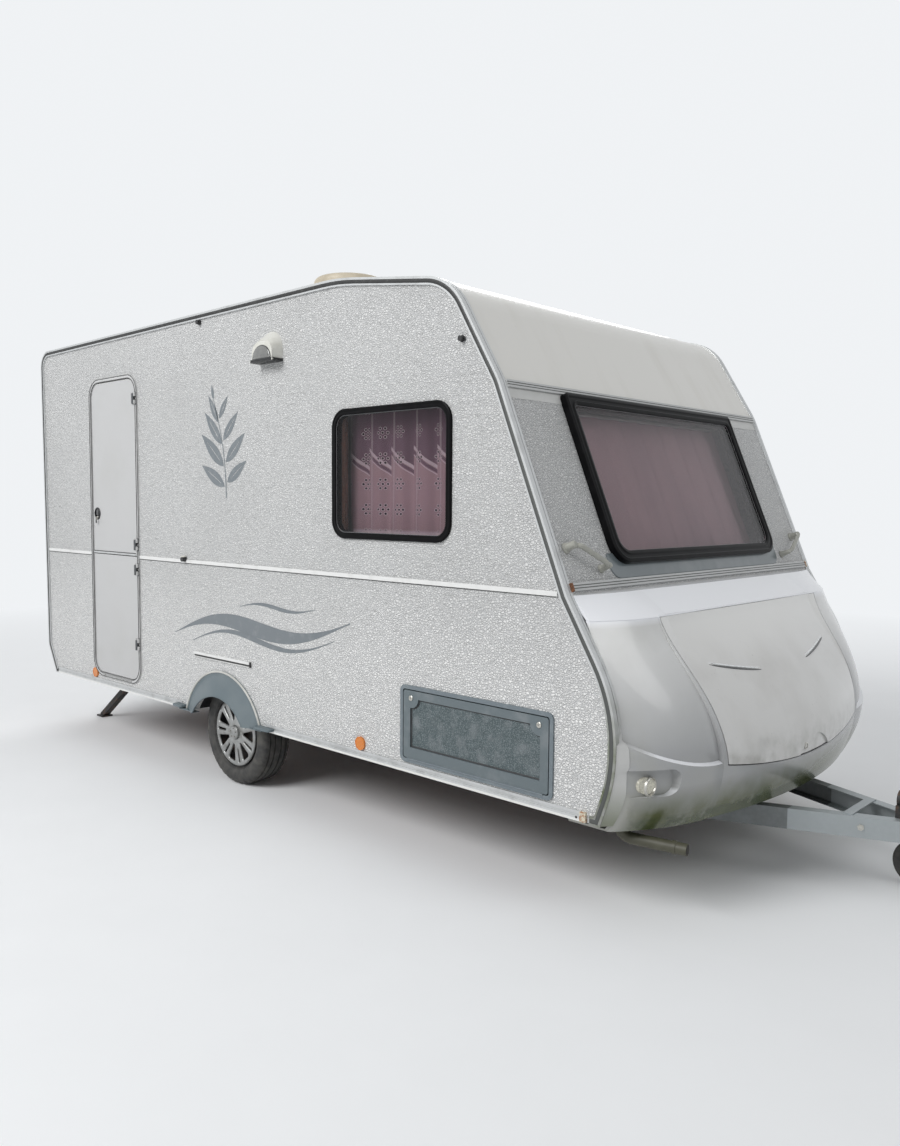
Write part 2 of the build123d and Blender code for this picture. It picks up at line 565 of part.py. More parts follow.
well = rod_y(WELL_R + WELL_SKIN, -inner_half, -WELL_INNER_Y, AXLE_X, TYRE_R)
well -= rod_y(WELL_R, -inner_half - 1, -WELL_INNER_Y - WELL_SKIN, AXLE_X, TYRE_R)
save(pair(well & above(SKIRT_Z)), "wheel_wells")

tyre_rows = (
    # y from the wheel's middle plane, radius, corner radius
    (-66, RIM_R + 4, 0),
    (-66, RIM_R + 14, 0),
    (-72, RIM_R + 14, 0),
    (-TYRE_WIDTH / 2, 222, 20),
    (-TYRE_WIDTH / 2, 258, 30),
    (-74, TYRE_R, 26),
    (74, TYRE_R, 26),
    (TYRE_WIDTH / 2, 258, 30),
    (TYRE_WIDTH / 2, 222, 20),
    (72, RIM_R + 14, 0),
    (66, RIM_R + 14, 0),
    (66, RIM_R + 4, 0),
)
rim_rows = (
    # y from the wheel's middle plane (outer side negative), radius, corner radius
    (-70, RIM_R + 14, 0),
    (-66, RIM_R + 14, 0),
    (-66, RIM_R + 4, 0),
    (66, RIM_R + 4, 0),
    (66, RIM_R + 14, 0),
    (70, RIM_R + 14, 0),
    (70, RIM_R - 2, 0),
    (-18, RIM_R - 2, 0),
    (-30, 120, 0),
    (-38, 100, 0),
    (-38, 34, 0),
    (-46, 34, 0),
    (-46, 104, 0),
    (-38, 124, 0),
    (-30, RIM_R - 2, 0),
    (-70, RIM_R - 2, 0),
)
wheel_frame = Plane(origin=(AXLE_X, -WHEEL_Y, TYRE_R), x_dir=(0, 1, 0), z_dir=(-1, 0, 0))
wheel_axis = Axis((AXLE_X, -WHEEL_Y, TYRE_R), (0, 1, 0))


def wheel_turned(rows):
    """Solid of revolution about the wheel's axis from (y, radius, corner radius) rows."""
    return revolve(wheel_frame * outline(rows), wheel_axis)


tyre = wheel_turned(tyre_rows)
rim = wheel_turned(rim_rows)
COVER_OUT, COVER_SKIN = 74, 5
cover_y = -WHEEL_Y - COVER_OUT
cover = rod_y(COVER_R, cover_y - COVER_SKIN, cover_y, AXLE_X, TYRE_R)
window = outline((
    # radius along the spoke's gap, half width, corner radius
    (72, -6, 3),
    (168, -36, 12),
    (168, 36, 12),
    (72, 6, 3),
))
slot = outline((
    (96, -5, 2),
    (172, -7, 3),
    (172, 7, 3),
    (96, 5, 2),
))
for spoke in range(COVER_SPOKES):
    turn = 360 / COVER_SPOKES * spoke
    for shape, angle in ((window, turn), (slot, turn + 180 / COVER_SPOKES)):
        hole = extrude(Plane.XZ.offset(-cover_y - 1) * (Rot(0, 0, angle) * shape), 20)
        cover -= Pos(AXLE_X, 0, TYRE_R) * hole
cover += rod_y(38, cover_y - 16, cover_y, AXLE_X, TYRE_R)
cover += rod_y(RIM_R + 10, cover_y, cover_y + 4, AXLE_X, TYRE_R) - rod_y(
    RIM_R - 2, cover_y - 1, cover_y + 5, AXLE_X, TYRE_R)
drum_outer_y = -WHEEL_Y - 38
drum = rod_y(DRUM_R, drum_outer_y, drum_outer_y + DRUM_WIDTH, AXLE_X, TYRE_R)
drum -= rod_y(SPINDLE_R + PIN_PLAY, drum_outer_y + 12, drum_outer_y + 100, AXLE_X, TYRE_R)
for side, name in ((-1, "right"), (1, "left")):
    save(to_side(tyre, side), f"tyre_{name}")
    save(to_side(rim, side), f"rim_{name}")
    save(to_side(cover, side), f"wheel_cover_{name}")
    save(to_side(drum, side), f"brake_drum_{name}")

# Axle tube, swing arms and spindles
arm_y = -WHEEL_Y + TYRE_WIDTH / 2 + ARM_PLAY
arm_face = make_hull([
    *(Pos(AXLE_TUBE_X, AXLE_TUBE_Z) * Circle(34)).edges(),
    *(Pos(AXLE_X, TYRE_R) * Circle(34)).edges(),
])
arm = extrude(Plane.XZ.offset(-arm_y - ARM_THICK) * arm_face, ARM_THICK)
arm += rod_y(SPINDLE_R, drum_outer_y + 14, arm_y, AXLE_X, TYRE_R)
axle = rod_y(AXLE_TUBE_R, arm_y + ARM_THICK, -arm_y - ARM_THICK, AXLE_TUBE_X, AXLE_TUBE_Z)
axle = axle + arm + left_of(arm)
save(axle, "axle")

# Chassis: two rails under the floor, cross members and the converging drawbar rails
rail_low_z = SKIRT_Z - RAIL_DEPTH


def channel(x0, x1, y_web, toward, low_z, high_z, flange):
    """Channel rail along X with its web at y_web and its flanges towards the given side."""
    y_tip = y_web + toward * flange
    y_skin = y_web + toward * RAIL_GAUGE
    low_y, high_y = sorted((y_web, y_tip))
    skin_low, skin_high = sorted((y_web, y_skin))
    rail = block(x0, x1, skin_low, skin_high, low_z, high_z)
    rail += block(x0, x1, low_y, high_y, high_z - RAIL_GAUGE, high_z)
    rail += block(x0, x1, low_y, high_y, low_z, low_z + RAIL_GAUGE)
    return rail


main_rail = channel(RAIL_REAR_X, RAIL_FRONT_X, -RAIL_Y + RAIL_GAUGE, -1, rail_low_z, SKIRT_Z, RAIL_FLANGE)
main_rail -= rod_y(AXLE_TUBE_R, -RAIL_Y - RAIL_FLANGE, -RAIL_Y + RAIL_FLANGE, AXLE_TUBE_X, AXLE_TUBE_Z)
save(pair(main_rail), "chassis_rails")

drawbar_low_z = DRAWBAR_TOP_Z - DRAWBAR_DEPTH
drawbar_y = RAIL_Y - RAIL_GAUGE


def drawbar_plan(inset, width):
    """Plan strip along the drawbar rail, from the inset off its outer edge inward by the width."""
    def edge(shift):
        rear = drawbar_y - shift
        tip = rear - (DRAWBAR_TIP_X - DRAWBAR_BEND_X) * DRAWBAR_SLOPE
        return rear, tip
    outer_rear, outer_tip = edge(inset)
    inner_rear, inner_tip = edge(inset + width)
    strip = make_face(Polyline(
        (DRAWBAR_REAR_X, -outer_rear), (DRAWBAR_BEND_X, -outer_rear), (DRAWBAR_TIP_X, -outer_tip),
        (DRAWBAR_TIP_X, -inner_tip), (DRAWBAR_BEND_X, -inner_rear), (DRAWBAR_REAR_X, -inner_rear),
        close=True))
    return strip


flange = extrude(Pos(0, 0, drawbar_low_z) * drawbar_plan(0, DRAWBAR_FLANGE), RAIL_GAUGE)
drawbar = flange + Pos(0, 0, DRAWBAR_DEPTH - RAIL_GAUGE) * flange
drawbar += extrude(Pos(0, 0, drawbar_low_z) * drawbar_plan(0, RAIL_GAUGE), DRAWBAR_DEPTH)
drawbar -= block(DRAWBAR_BEND_X, FAR, -2, FAR, -FAR, FAR)
save(pair(drawbar), "drawbar_rails")

cross_members = []
for x in MEMBER_XS:
    cross_members.append(block(x - MEMBER_WIDTH / 2, x + MEMBER_WIDTH / 2, -drawbar_y, drawbar_y,
                               SKIRT_Z - MEMBER_DEPTH, SKIRT_Z))
brace_half = drawbar_y - (BRACE_X + BRACE_WIDTH / 2 - DRAWBAR_BEND_X) * DRAWBAR_SLOPE - BRACE_EDGE
cross_members.append(block(BRACE_X - BRACE_WIDTH / 2, BRACE_X + BRACE_WIDTH / 2, -brace_half, brace_half,
                           DRAWBAR_TOP_Z, DRAWBAR_TOP_Z + BRACE_GAUGE))
save(Compound(cross_members), "cross_members")

# Overrun device and coupling head
shaft_tip_x = NECK_REAR_X + NECK_COVER
housing = block(HOUSING_REAR_X, HOUSING_FRONT_X, -HOUSING_HALF, HOUSING_HALF, DRAWBAR_TOP_Z, COUPLING_Z - 20)
housing += rod_x(HOUSING_R, HOUSING_REAR_X, HOUSING_FRONT_X, 0, COUPLING_Z)
housing += rod_x(SHAFT_R, HOUSING_FRONT_X, shaft_tip_x, 0, COUPLING_Z)
for ring in range(BELLOWS_RINGS):
    ring_x = HOUSING_FRONT_X + BELLOWS_PITCH * ring + 4
    housing += rod_x(BELLOWS_R - ring, ring_x, ring_x + BELLOWS_PITCH / 2, 0, COUPLING_Z)
save(housing, "overrun_device")
HEAD_DEPTH, HEAD_RISE, LEVER_TOP = 34, 24, 54
head = rod_x(NECK_R, NECK_REAR_X, NECK_FRONT_X, 0, COUPLING_Z)
head -= rod_x(SHAFT_R, NECK_REAR_X - 10, shaft_tip_x, 0, COUPLING_Z)
head += rod_z(HEAD_R, COUPLING_Z - HEAD_DEPTH, COUPLING_Z + HEAD_RISE, BALL_X, 0)
head += Pos(BALL_X, 0, COUPLING_Z + HEAD_RISE) * scale(Sphere(HEAD_R), (1, 1, 0.35))
head -= rod_z(BALL_SOCKET_R, COUPLING_Z - HEAD_DEPTH - 6, COUPLING_Z - 2, BALL_X, 0)
head += block(shaft_tip_x + 1, BALL_X - 12, -8, 8, COUPLING_Z + 20, COUPLING_Z + LEVER_TOP - 8)
head += rod_x(9, BALL_X - 182, BALL_X - 42, 0, COUPLING_Z + LEVER_TOP - 2)
head += block(BALL_X - 62, BALL_X - 42, -8, 8, COUPLING_Z + 40, COUPLING_Z + LEVER_TOP)
save(head, "coupling_head")
LEVER_BAR_R, LEVER_GRIP_R, LEVER_Y = 9, 14, HOUSING_HALF + 7
lever = block(LEVER_X + 10, LEVER_X + 40, HOUSING_HALF, HOUSING_HALF + 12, COUPLING_Z - 60, COUPLING_Z + 60)
lever += Pos(LEVER_X, LEVER_Y, COUPLING_Z + 120) * Rot(0, -LEVER_LEAN, 0) * Cylinder(LEVER_BAR_R, 190)
lever += Pos(LEVER_X - 20, LEVER_Y, COUPLING_Z + 190) * Rot(0, -LEVER_LEAN, 0) * Cylinder(LEVER_GRIP_R, 110)
save(lever, "handbrake_lever")

# Jockey wheel on the drawbar's nose
clamp = block(JOCKEY_X - 30, JOCKEY_X + 30, 20, JOCKEY_Y + 30, drawbar_low_z + 15, DRAWBAR_TOP_Z - 10)
clamp -= left_of(extrude(drawbar_plan(0, 200), DRAWBAR_TOP_Z))
clamp += rod_z(JOCKEY_TUBE_R, JOCKEY_TUBE_FOOT_Z, JOCKEY_TUBE_HEAD_Z, JOCKEY_X, JOCKEY_Y)
clamp += rod_z(10, JOCKEY_TUBE_HEAD_Z - 10, JOCKEY_CRANK_Z + 8, JOCKEY_X, JOCKEY_Y)
clamp += rod_x(7, JOCKEY_X - 8, JOCKEY_X + JOCKEY_CRANK_OUT + 6, JOCKEY_Y, JOCKEY_CRANK_Z)
clamp += rod_z(11, JOCKEY_CRANK_Z - 10, JOCKEY_CRANK_Z + 84, JOCKEY_X + JOCKEY_CRANK_OUT, JOCKEY_Y)
save(clamp, "jockey_tube")
fork_top_z = JOCKEY_TUBE_FOOT_Z - PIN_PLAY
fork_half = JOCKEY_WHEEL_WIDTH / 2 + 6
wheel_x = JOCKEY_X - JOCKEY_TRAIL
crown_z = fork_top_z - FORK_GAUGE
fork = rod_z(20, fork_top_z - 6, fork_top_z, JOCKEY_X, JOCKEY_Y)
fork += block(wheel_x - 22, JOCKEY_X + JOCKEY_TUBE_R, JOCKEY_Y - fork_half - FORK_GAUGE,
              JOCKEY_Y + fork_half + FORK_GAUGE, crown_z - FORK_GAUGE, crown_z)
fork_side = make_face(Polyline(
    (wheel_x - 22, crown_z), (JOCKEY_X + JOCKEY_TUBE_R, crown_z), (wheel_x + 18, FORK_FOOT_Z),
    (wheel_x - 18, FORK_FOOT_Z), close=True))
for y in (JOCKEY_Y - fork_half - FORK_GAUGE, JOCKEY_Y + fork_half):
    fork += extrude(Plane.XZ.offset(-y - FORK_GAUGE) * fork_side, FORK_GAUGE)
fork += rod_y(JOCKEY_AXLE_R, JOCKEY_Y - fork_half, JOCKEY_Y + fork_half, wheel_x, JOCKEY_WHEEL_R)
save(fork, "jockey_fork")
half_tread = JOCKEY_WHEEL_WIDTH / 2
wheel = rod_y(JOCKEY_WHEEL_R, JOCKEY_Y - half_tread, JOCKEY_Y + half_tread, wheel_x, JOCKEY_WHEEL_R)
wheel = fillet(wheel.edges().filter_by(GeomType.CIRCLE), 12)
wheel -= rod_y(JOCKEY_AXLE_R + PIN_PLAY, JOCKEY_Y - FAR, JOCKEY_Y + FAR, wheel_x, JOCKEY_WHEEL_R)
save(wheel, "jockey_wheel")


# Corner steadies: the rear pair stands on the ground, the front pair is folded up
def steady(pivot_x, foot_x, foot_z):
    outer = STEADY_HALF + STEADY_PLATE
    hanger = block(pivot_x - 60, pivot_x + 60, -STEADY_Y - outer, -STEADY_Y + outer, STEADY_PIVOT_Z - 25,
                   SKIRT_Z)
    hanger -= block(pivot_x - 61, pivot_x + 61, -STEADY_Y - STEADY_HALF, -STEADY_Y + STEADY_HALF, 0,
                    SKIRT_Z - STEADY_PLATE)
    hanger += rod_y(8, -STEADY_Y - outer - 4, -STEADY_Y + outer + 4, pivot_x, STEADY_PIVOT_Z)
    run, rise = foot_x - pivot_x, foot_z + 12 - STEADY_PIVOT_Z
    length = math.hypot(run, rise)
    tilt = math.degrees(math.atan2(rise, run))
    leg = Pos(pivot_x, -STEADY_Y, STEADY_PIVOT_Z) * Rot(0, -tilt, 0) * Pos(length / 2, 0, 0) * (
        Box(length + 20, 50, 36) - Pos(0, 0, -4) * Box(length + 30, 42, 36))
    foot = block(foot_x - 45, foot_x + 45, -STEADY_Y - 40, -STEADY_Y + 40, foot_z, foot_z + 10)
    foot += rod_y(14, -STEADY_Y - 24, -STEADY_Y + 24, foot_x, foot_z + 16)
    return hanger + leg + foot


steadies = [
    steady(REAR_STEADY_X, REAR_STEADY_FOOT_X, 0),
    steady(FRONT_STEADY_X, FRONT_STEADY_FOOT_X, FRONT_STEADY_FOOT_Z),
]
save(Compound([*steadies, *[left_of(piece) for piece in steadies]]), "corner_steadies")

# Window frames, panes and curtains
frames = []
panes = []
curtains = []
curtain_rails = []
rail_lift = CURTAIN_RAIL_R + PIN_PLAY
bracket_half = CURTAIN_RAIL_R - 1
for row in side_windows:
    side, x0, x1, z0, z1 = row
    frame = on_side(window_face(row, 0), HALF, HALF + WINDOW_PROUD)
    frame += on_side(window_face(row, WINDOW_FRAME / 2), inner_half - 6, HALF)
    frame -= on_side(window_face(row, WINDOW_FRAME), inner_half - 20, HALF + 20)
    pane = on_side(window_face(row, WINDOW_FRAME), HALF - PANE_THICK + 4, HALF + 4)
    curtain_top_z = z1 + CURTAIN_HEAD_ROOM
    curtain = on_side(frame_face(x0 + CURTAIN_SIDE_ROOM, x1 - CURTAIN_SIDE_ROOM, z0 + CURTAIN_FOOT_ROOM,
                                 curtain_top_z, 3),
                      inner_half - CURTAIN_IN - CURTAIN_THICK, inner_half - CURTAIN_IN)
    rail_y = -inner_half + CURTAIN_IN + CURTAIN_THICK / 2
    rail_x0, rail_x1, rail_z = x0 - CURTAIN_RAIL_OVER, x1 + CURTAIN_RAIL_OVER, curtain_top_z + rail_lift
    rail = rod_x(CURTAIN_RAIL_R, rail_x0, rail_x1, rail_y, rail_z)
    for x in (rail_x0 + 2 * bracket_half, rail_x1 - 2 * bracket_half):
        rail += block(x - bracket_half, x + bracket_half, -inner_half, rail_y, rail_z - bracket_half,
                      rail_z + bracket_half)
    frames.append(to_side(frame, side))
    panes.append(to_side(pane, side))
    curtains.append(to_side(curtain, side))
    curtain_rails.append(to_side(rail, side))

front_frame = extrude(front_plane * front_rect(0), FRONT_WINDOW_PROUD)
front_frame += extrude(front_plane.offset(-WALL) * front_rect(FRONT_FRAME / 2), WALL)
front_frame -= extrude(front_plane.offset(-2 * WALL) * front_rect(FRONT_FRAME), 4 * WALL)
frames.append(front_frame)
panes.append(extrude(front_plane.offset(FRONT_WINDOW_PROUD - 6 - PANE_THICK) * front_rect(FRONT_FRAME),
                     PANE_THICK))
front_curtain_plane = front_plane.offset(-WALL - CURTAIN_IN - CURTAIN_THICK)
front_curtain_half = FRONT_WINDOW_HALF - CURTAIN_RAIL_OVER
front_curtain_high = front_window_height - 2 * CURTAIN_RAIL_OVER
curtains.append(extrude(front_curtain_plane * RectangleRounded(2 * front_curtain_half, front_curtain_high, 3),
                        CURTAIN_THICK))
rail_plane = front_plane.offset(-WALL - CURTAIN_IN - CURTAIN_THICK / 2)
rail_mid = rail_plane.from_local_coords((0, front_curtain_high / 2 + rail_lift, 0))
front_rail_half = FRONT_WINDOW_HALF + CURTAIN_RAIL_OVER
front_rail = rod_y(CURTAIN_RAIL_R, -front_rail_half, front_rail_half, rail_mid.X, rail_mid.Z)
for y in (2 * bracket_half - front_rail_half, front_rail_half - 2 * bracket_half):
    reach = Plane(origin=(rail_mid.X, y, rail_mid.Z), x_dir=(0, 1, 0), z_dir=front_plane.z_dir)
    front_rail += extrude(reach * Rectangle(2 * bracket_half, 8), CURTAIN_IN + CURTAIN_THICK / 2)
curtain_rails.append(front_rail)

rear_mid_z = (REAR_WINDOW_FOOT_Z + REAR_WINDOW_HEAD_Z) / 2
rear_lean = math.atan2(REAR_BEND_X - REAR_HEAD_X, REAR_HEAD_Z - REAR_BEND_Z)
rear_plane = Plane(origin=(rear_x(rear_mid_z), 0, rear_mid_z), x_dir=(0, -1, 0),
                   z_dir=(-math.cos(rear_lean), 0, -math.sin(rear_lean)))


def rear_rect(inset):
    return RectangleRounded(2 * (REAR_WINDOW_HALF - inset),
                            REAR_WINDOW_HEAD_Z - REAR_WINDOW_FOOT_Z - 2 * inset, WINDOW_CORNER_R - inset)


rear_frame = extrude(rear_plane * rear_rect(0), WINDOW_PROUD)
rear_frame += extrude(rear_plane.offset(-WALL - 6) * rear_rect(WINDOW_FRAME / 2 + 0.5), WALL + 6)
rear_frame -= extrude(rear_plane.offset(-3 * WALL) * rear_rect(WINDOW_FRAME), 6 * WALL)
frames.append(rear_frame)
panes.append(extrude(rear_plane.offset(4 - PANE_THICK) * rear_rect(WINDOW_FRAME), PANE_THICK))
rear_curtain_x = rear_x(rear_mid_z) + WALL + CURTAIN_IN
rear_curtain_half = REAR_WINDOW_HALF - CURTAIN_SIDE_ROOM
rear_curtain_top_z = REAR_WINDOW_HEAD_Z + CURTAIN_HEAD_ROOM
curtains.append(block(rear_curtain_x, rear_curtain_x + CURTAIN_THICK, -rear_curtain_half, rear_curtain_half,
                      REAR_WINDOW_FOOT_Z + CURTAIN_FOOT_ROOM, rear_curtain_top_z))
rear_rail_x, rear_rail_z = rear_curtain_x + CURTAIN_THICK / 2, rear_curtain_top_z + rail_lift
rear_rail_half = REAR_WINDOW_HALF + CURTAIN_RAIL_OVER
rear_rail = rod_y(CURTAIN_RAIL_R, -rear_rail_half, rear_rail_half, rear_rail_x, rear_rail_z)
for y in (2 * bracket_half - rear_rail_half, rear_rail_half - 2 * bracket_half):
    rear_rail += block(rear_x(REAR_WINDOW_HEAD_Z) + WALL + PIN_PLAY, rear_rail_x, y - bracket_half,
                       y + bracket_half, rear_rail_z - bracket_half, rear_rail_z + bracket_half)
curtain_rails.append(rear_rail)
save(Compound(frames), "window_frames")
save(Compound(panes), "window_panes")
save(Compound(curtains), "curtains")
save(Compound(curtain_rails), "curtain_rails")

# Stable door
hinge_x = DOOR_FRONT_X - DOOR_FRAME - DOOR_GAP / 2
hinge_y = -(HALF + DOOR_HINGE_OUT)
door_frame = on_side(frame_face(DOOR_REAR_X, DOOR_FRONT_X, DOOR_FOOT_Z, DOOR_HEAD_Z, DOOR_CORNER_R),
                     HALF, HALF + DOOR_FRAME_PROUD)
door_frame += on_side(door_cut, inner_half, HALF)
door_frame -= on_side(door_opening, inner_half - 10, HALF + 20)
leaf_face = frame_face(DOOR_REAR_X, DOOR_FRONT_X, DOOR_FOOT_Z, DOOR_HEAD_Z, DOOR_CORNER_R,
                       DOOR_FRAME + DOOR_GAP)
leaf = on_side(leaf_face, HALF + DOOR_PROUD - DOOR_THICK, HALF + DOOR_PROUD)
door_upper = leaf & above(DOOR_SPLIT_Z + DOOR_GAP / 2)
door_lower = leaf & below(DOOR_SPLIT_Z - DOOR_GAP / 2)


def hinge_knuckle(z, high, low):
    return rod_z(HINGE_R, z + low, z + high, hinge_x, hinge_y)


third = HINGE_LENGTH / 6
for z in UPPER_HINGE_Z + LOWER_HINGE_Z:
    for low, high in ((-3 * third, -third), (third, 3 * third)):
        door_frame += hinge_knuckle(z, high, low)
        door_frame += block(hinge_x + 3.5, DOOR_FRONT_X - 4, hinge_y, -HALF - DOOR_FRAME_PROUD,
                            z + low, z + high)
    door_frame += rod_z(HINGE_PIN_R, z - 3 * third, z + 3 * third, hinge_x, hinge_y)


def leaf_hinge(z):
    """Leaf's half of a hinge: the middle knuckle and the strap that carries it."""
    low, high = -third + PIN_PLAY, third - PIN_PLAY
    half_hinge = hinge_knuckle(z, high, low)
    half_hinge += block(hinge_x - 14, hinge_x - 4, hinge_y, -HALF - DOOR_PROUD, z + low, z + high)
    half_hinge += block(hinge_x - 44, hinge_x - 4, -HALF - DOOR_PROUD - 4, -HALF - DOOR_PROUD,
                        z - 3 * third, z + 3 * third)
    return half_hinge - rod_z(HINGE_PIN_R + PIN_PLAY, z - 60, z + 60, hinge_x, hinge_y)


for z in UPPER_HINGE_Z:
    door_upper += leaf_hinge(z)
for z in LOWER_HINGE_Z:
    door_lower += leaf_hinge(z)
save(door_frame, "door_frame")
handle_pocket = rod_y(HANDLE_R, -HALF - 20, -HALF + DOOR_THICK - 16, HANDLE_X, HANDLE_Z)
save(door_upper - handle_pocket, "door_upper")
save(door_lower, "door_lower")
handle = rod_y(HANDLE_R, -HALF - DOOR_PROUD - 3, -HALF + DOOR_THICK - 16, HANDLE_X, HANDLE_Z)
handle -= rod_y(HANDLE_R - 7, -HALF - 20, -HALF + 6, HANDLE_X, HANDLE_Z)
handle += block(HANDLE_X - 9, HANDLE_X + 9, -HALF - 2, -HALF + 8, HANDLE_Z - 30, HANDLE_Z + 30)
save(handle, "door_handle")

# Side locker hatch, hinged along its foot on a bead of its frame; two lock bosses cut into the
# corners of its recessed panel
hatch_hinge_z = HATCH_FOOT_Z + HATCH_FRAME
hatch_hinge_y = -(HALF + HATCH_PROUD)
hatch_frame = on_side(frame_face(HATCH_REAR_X, HATCH_FRONT_X, HATCH_FOOT_Z, HATCH_HEAD_Z, HATCH_CORNER_R),
                      HALF, HALF + HATCH_PROUD)
hatch_frame += on_side(hatch_cut, inner_half, HALF)
hatch_frame -= on_side(hatch_opening, inner_half - 10, HALF + HATCH_PROUD + 1)
bead_room = HATCH_FRAME + HATCH_CORNER_R
hatch_frame += rod_x(HATCH_HINGE_R, HATCH_REAR_X + bead_room, HATCH_FRONT_X - bead_room, hatch_hinge_y,
                     hatch_hinge_z)
save(hatch_frame, "hatch_frame")
leaf_x0, leaf_x1 = HATCH_REAR_X + HATCH_FRAME + HATCH_GAP, HATCH_FRONT_X - HATCH_FRAME - HATCH_GAP
leaf_z0, leaf_z1 = hatch_hinge_z + HATCH_HINGE_R + HINGE_PLAY, HATCH_HEAD_Z - HATCH_FRAME - HATCH_GAP
leaf_radius = HATCH_CORNER_R - HATCH_FRAME
hatch_door = on_side(frame_face(leaf_x0, leaf_x1, leaf_z0, leaf_z1, leaf_radius),
                     HALF + HATCH_PROUD - HATCH_THICK, HALF + HATCH_PROUD)
panel = frame_face(leaf_x0 + HATCH_RIM_SIDE, leaf_x1 - HATCH_RIM_SIDE, leaf_z0 + HATCH_RIM_FOOT,
                   leaf_z1 - HATCH_RIM_TOP, 4)
lock_z = HATCH_HEAD_Z - HATCH_LOCK_DOWN
lock_xs = (HATCH_REAR_X + HATCH_LOCK_IN, HATCH_FRONT_X - HATCH_LOCK_IN)
for x in lock_xs:
    panel -= Pos(x, lock_z) * Circle(HATCH_BOSS_R)
hatch_door -= on_side(panel, HALF + HATCH_PROUD - HATCH_POCKET, HALF + HATCH_PROUD + 1)
for x in lock_xs:
    lock_ring = rod_y(HATCH_LOCK_R, -HALF - HATCH_PROUD - 1.5, -HALF, x, lock_z)
    hatch_door += lock_ring - rod_y(HATCH_LOCK_R / 2, -HALF - HATCH_PROUD - 2, -HALF - 3, x, lock_z)
save(hatch_door, "hatch_door")

# Lamps, reflectors and small fittings
reflectors = [rod_y(REFLECTOR_R, -HALF - REFLECTOR_PROUD, -HALF, x, REFLECTOR_Z) for x in REFLECTOR_XS]
reflectors += [left_of(piece) for piece in reflectors]
save(Compound(reflectors), "reflectors")

lamp_stub = rod_x(LAMP_R, NOSE_BACK_X, FAR, -LAMP_Y, LAMP_Z)
lamp = (lamp_stub & (Pos(LAMP_PROUD, 0, 0) * nose_outer)) - nose_outer
save(pair(lamp.solids().sort_by(SortBy.VOLUME)[-1]), "front_lamps")

cabin_body = extrude(Plane.XZ * cabin_face, inner_half, both=True)
rear_lights = []
for z, height in ((700, 150), (560, 90)):
    light = block(rear_x(z) - REAR_LIGHT_PROUD, rear_x(z) + REAR_LIGHT_PROUD, -REAR_LIGHT_Y,
                  REAR_LIGHT_WIDTH - REAR_LIGHT_Y, z, z + height)
    rear_lights.append(light - cabin_body)
rear_lights += [left_of(piece) for piece in rear_lights]
save(Compound(rear_lights), "rear_lights")
rear_panel = block(REAR_BEND_X - REAR_PANEL_PROUD, REAR_BEND_X + REAR_PANEL_PROUD, -REAR_PANEL_HALF,
                   REAR_PANEL_HALF, REAR_PANEL_FOOT_Z, REAR_PANEL_HEAD_Z)
save(rear_panel - cabin_body, "rear_panel")


def lamp_arch(width, height):
    """Arch that stands on the awning lamp's foot."""
    half, radius = width / 2, height * 0.62
    return Pos(AWNING_LAMP_X, AWNING_LAMP_Z) * outline((
        (-half, 0, 4), (half, 0, 4), (half, height, radius), (-half, height, radius)))


# Awning lamp: a hood that falls from the wall to the arch of its lens, over a flat brim
awning_lamp = loft([Plane.XZ.offset(HALF) * lamp_arch(190, 150),
                    Plane.XZ.offset(HALF + AWNING_LAMP_PROUD) * lamp_arch(172, 92)])
brim = frame_face(AWNING_LAMP_X - 97, AWNING_LAMP_X + 97, AWNING_LAMP_Z - 10, AWNING_LAMP_Z + 2, 4)
awning_lamp += on_side(brim, HALF, HALF + AWNING_LAMP_PROUD + 6)
save(awning_lamp, "awning_lamp")

# Roof vent: a mushroom cowl with a rounded edge over a narrower neck
vent_rows = (
    # radius, z over the roof's peak, corner radius
    (0, -20, 0),
    (VENT_NECK_R, -20, 0),
    (VENT_NECK_R, VENT_LIFT, 0),
    (VENT_R, VENT_LIFT, 6),
    (VENT_R, VENT_LIFT + VENT_EDGE, 30),
    (0, VENT_DOME, 0),
)
vent_plane = Plane(origin=(VENT_X, VENT_Y, ROOF_PEAK_Z), x_dir=(1, 0, 0), z_dir=(0, -1, 0))
vent_axis = Axis((VENT_X, VENT_Y, ROOF_PEAK_Z), (0, 0, 1))
save(revolve(vent_plane * outline(vent_rows), vent_axis) - cabin_body, "roof_vent")


def bent_bar(points, radius, bend):
    """Round bar along a bent path."""
    path = FilletPolyline(*points, radius=bend)
    start = Plane(origin=path @ 0, z_dir=path % 0)
    return sweep(start * Circle(radius), path)


def off_slope(y, z, reach):
    """Point in front of the sloping wall at a height, out by the reach."""
    return (slope_x(z) + reach * math.cos(slope), y, z + reach * math.sin(slope))


grab_path = (
    off_slope(84 - HALF, 1441, -GRAB_SINK),
    off_slope(98 - HALF, 1438, GRAB_REACH),
    off_slope(266 - HALF, 1352, GRAB_REACH),
    off_slope(284 - HALF, 1350, -GRAB_SINK),
)
grab = bent_bar(grab_path, GRAB_R, GRAB_BEND) - cabin_body
rear_grab_x0, rear_grab_x1 = rear_x(REAR_GRAB_Z), rear_x(REAR_GRAB_Z + REAR_GRAB_LENGTH)
rear_grab_path = (
    (rear_grab_x0 + GRAB_SINK, -REAR_GRAB_Y, REAR_GRAB_Z),
    (rear_grab_x0 - REAR_GRAB_REACH, -REAR_GRAB_Y, REAR_GRAB_Z),
    (rear_grab_x1 - REAR_GRAB_REACH, -REAR_GRAB_Y, REAR_GRAB_Z + REAR_GRAB_LENGTH),
    (rear_grab_x1 + GRAB_SINK, -REAR_GRAB_Y, REAR_GRAB_Z + REAR_GRAB_LENGTH),
)
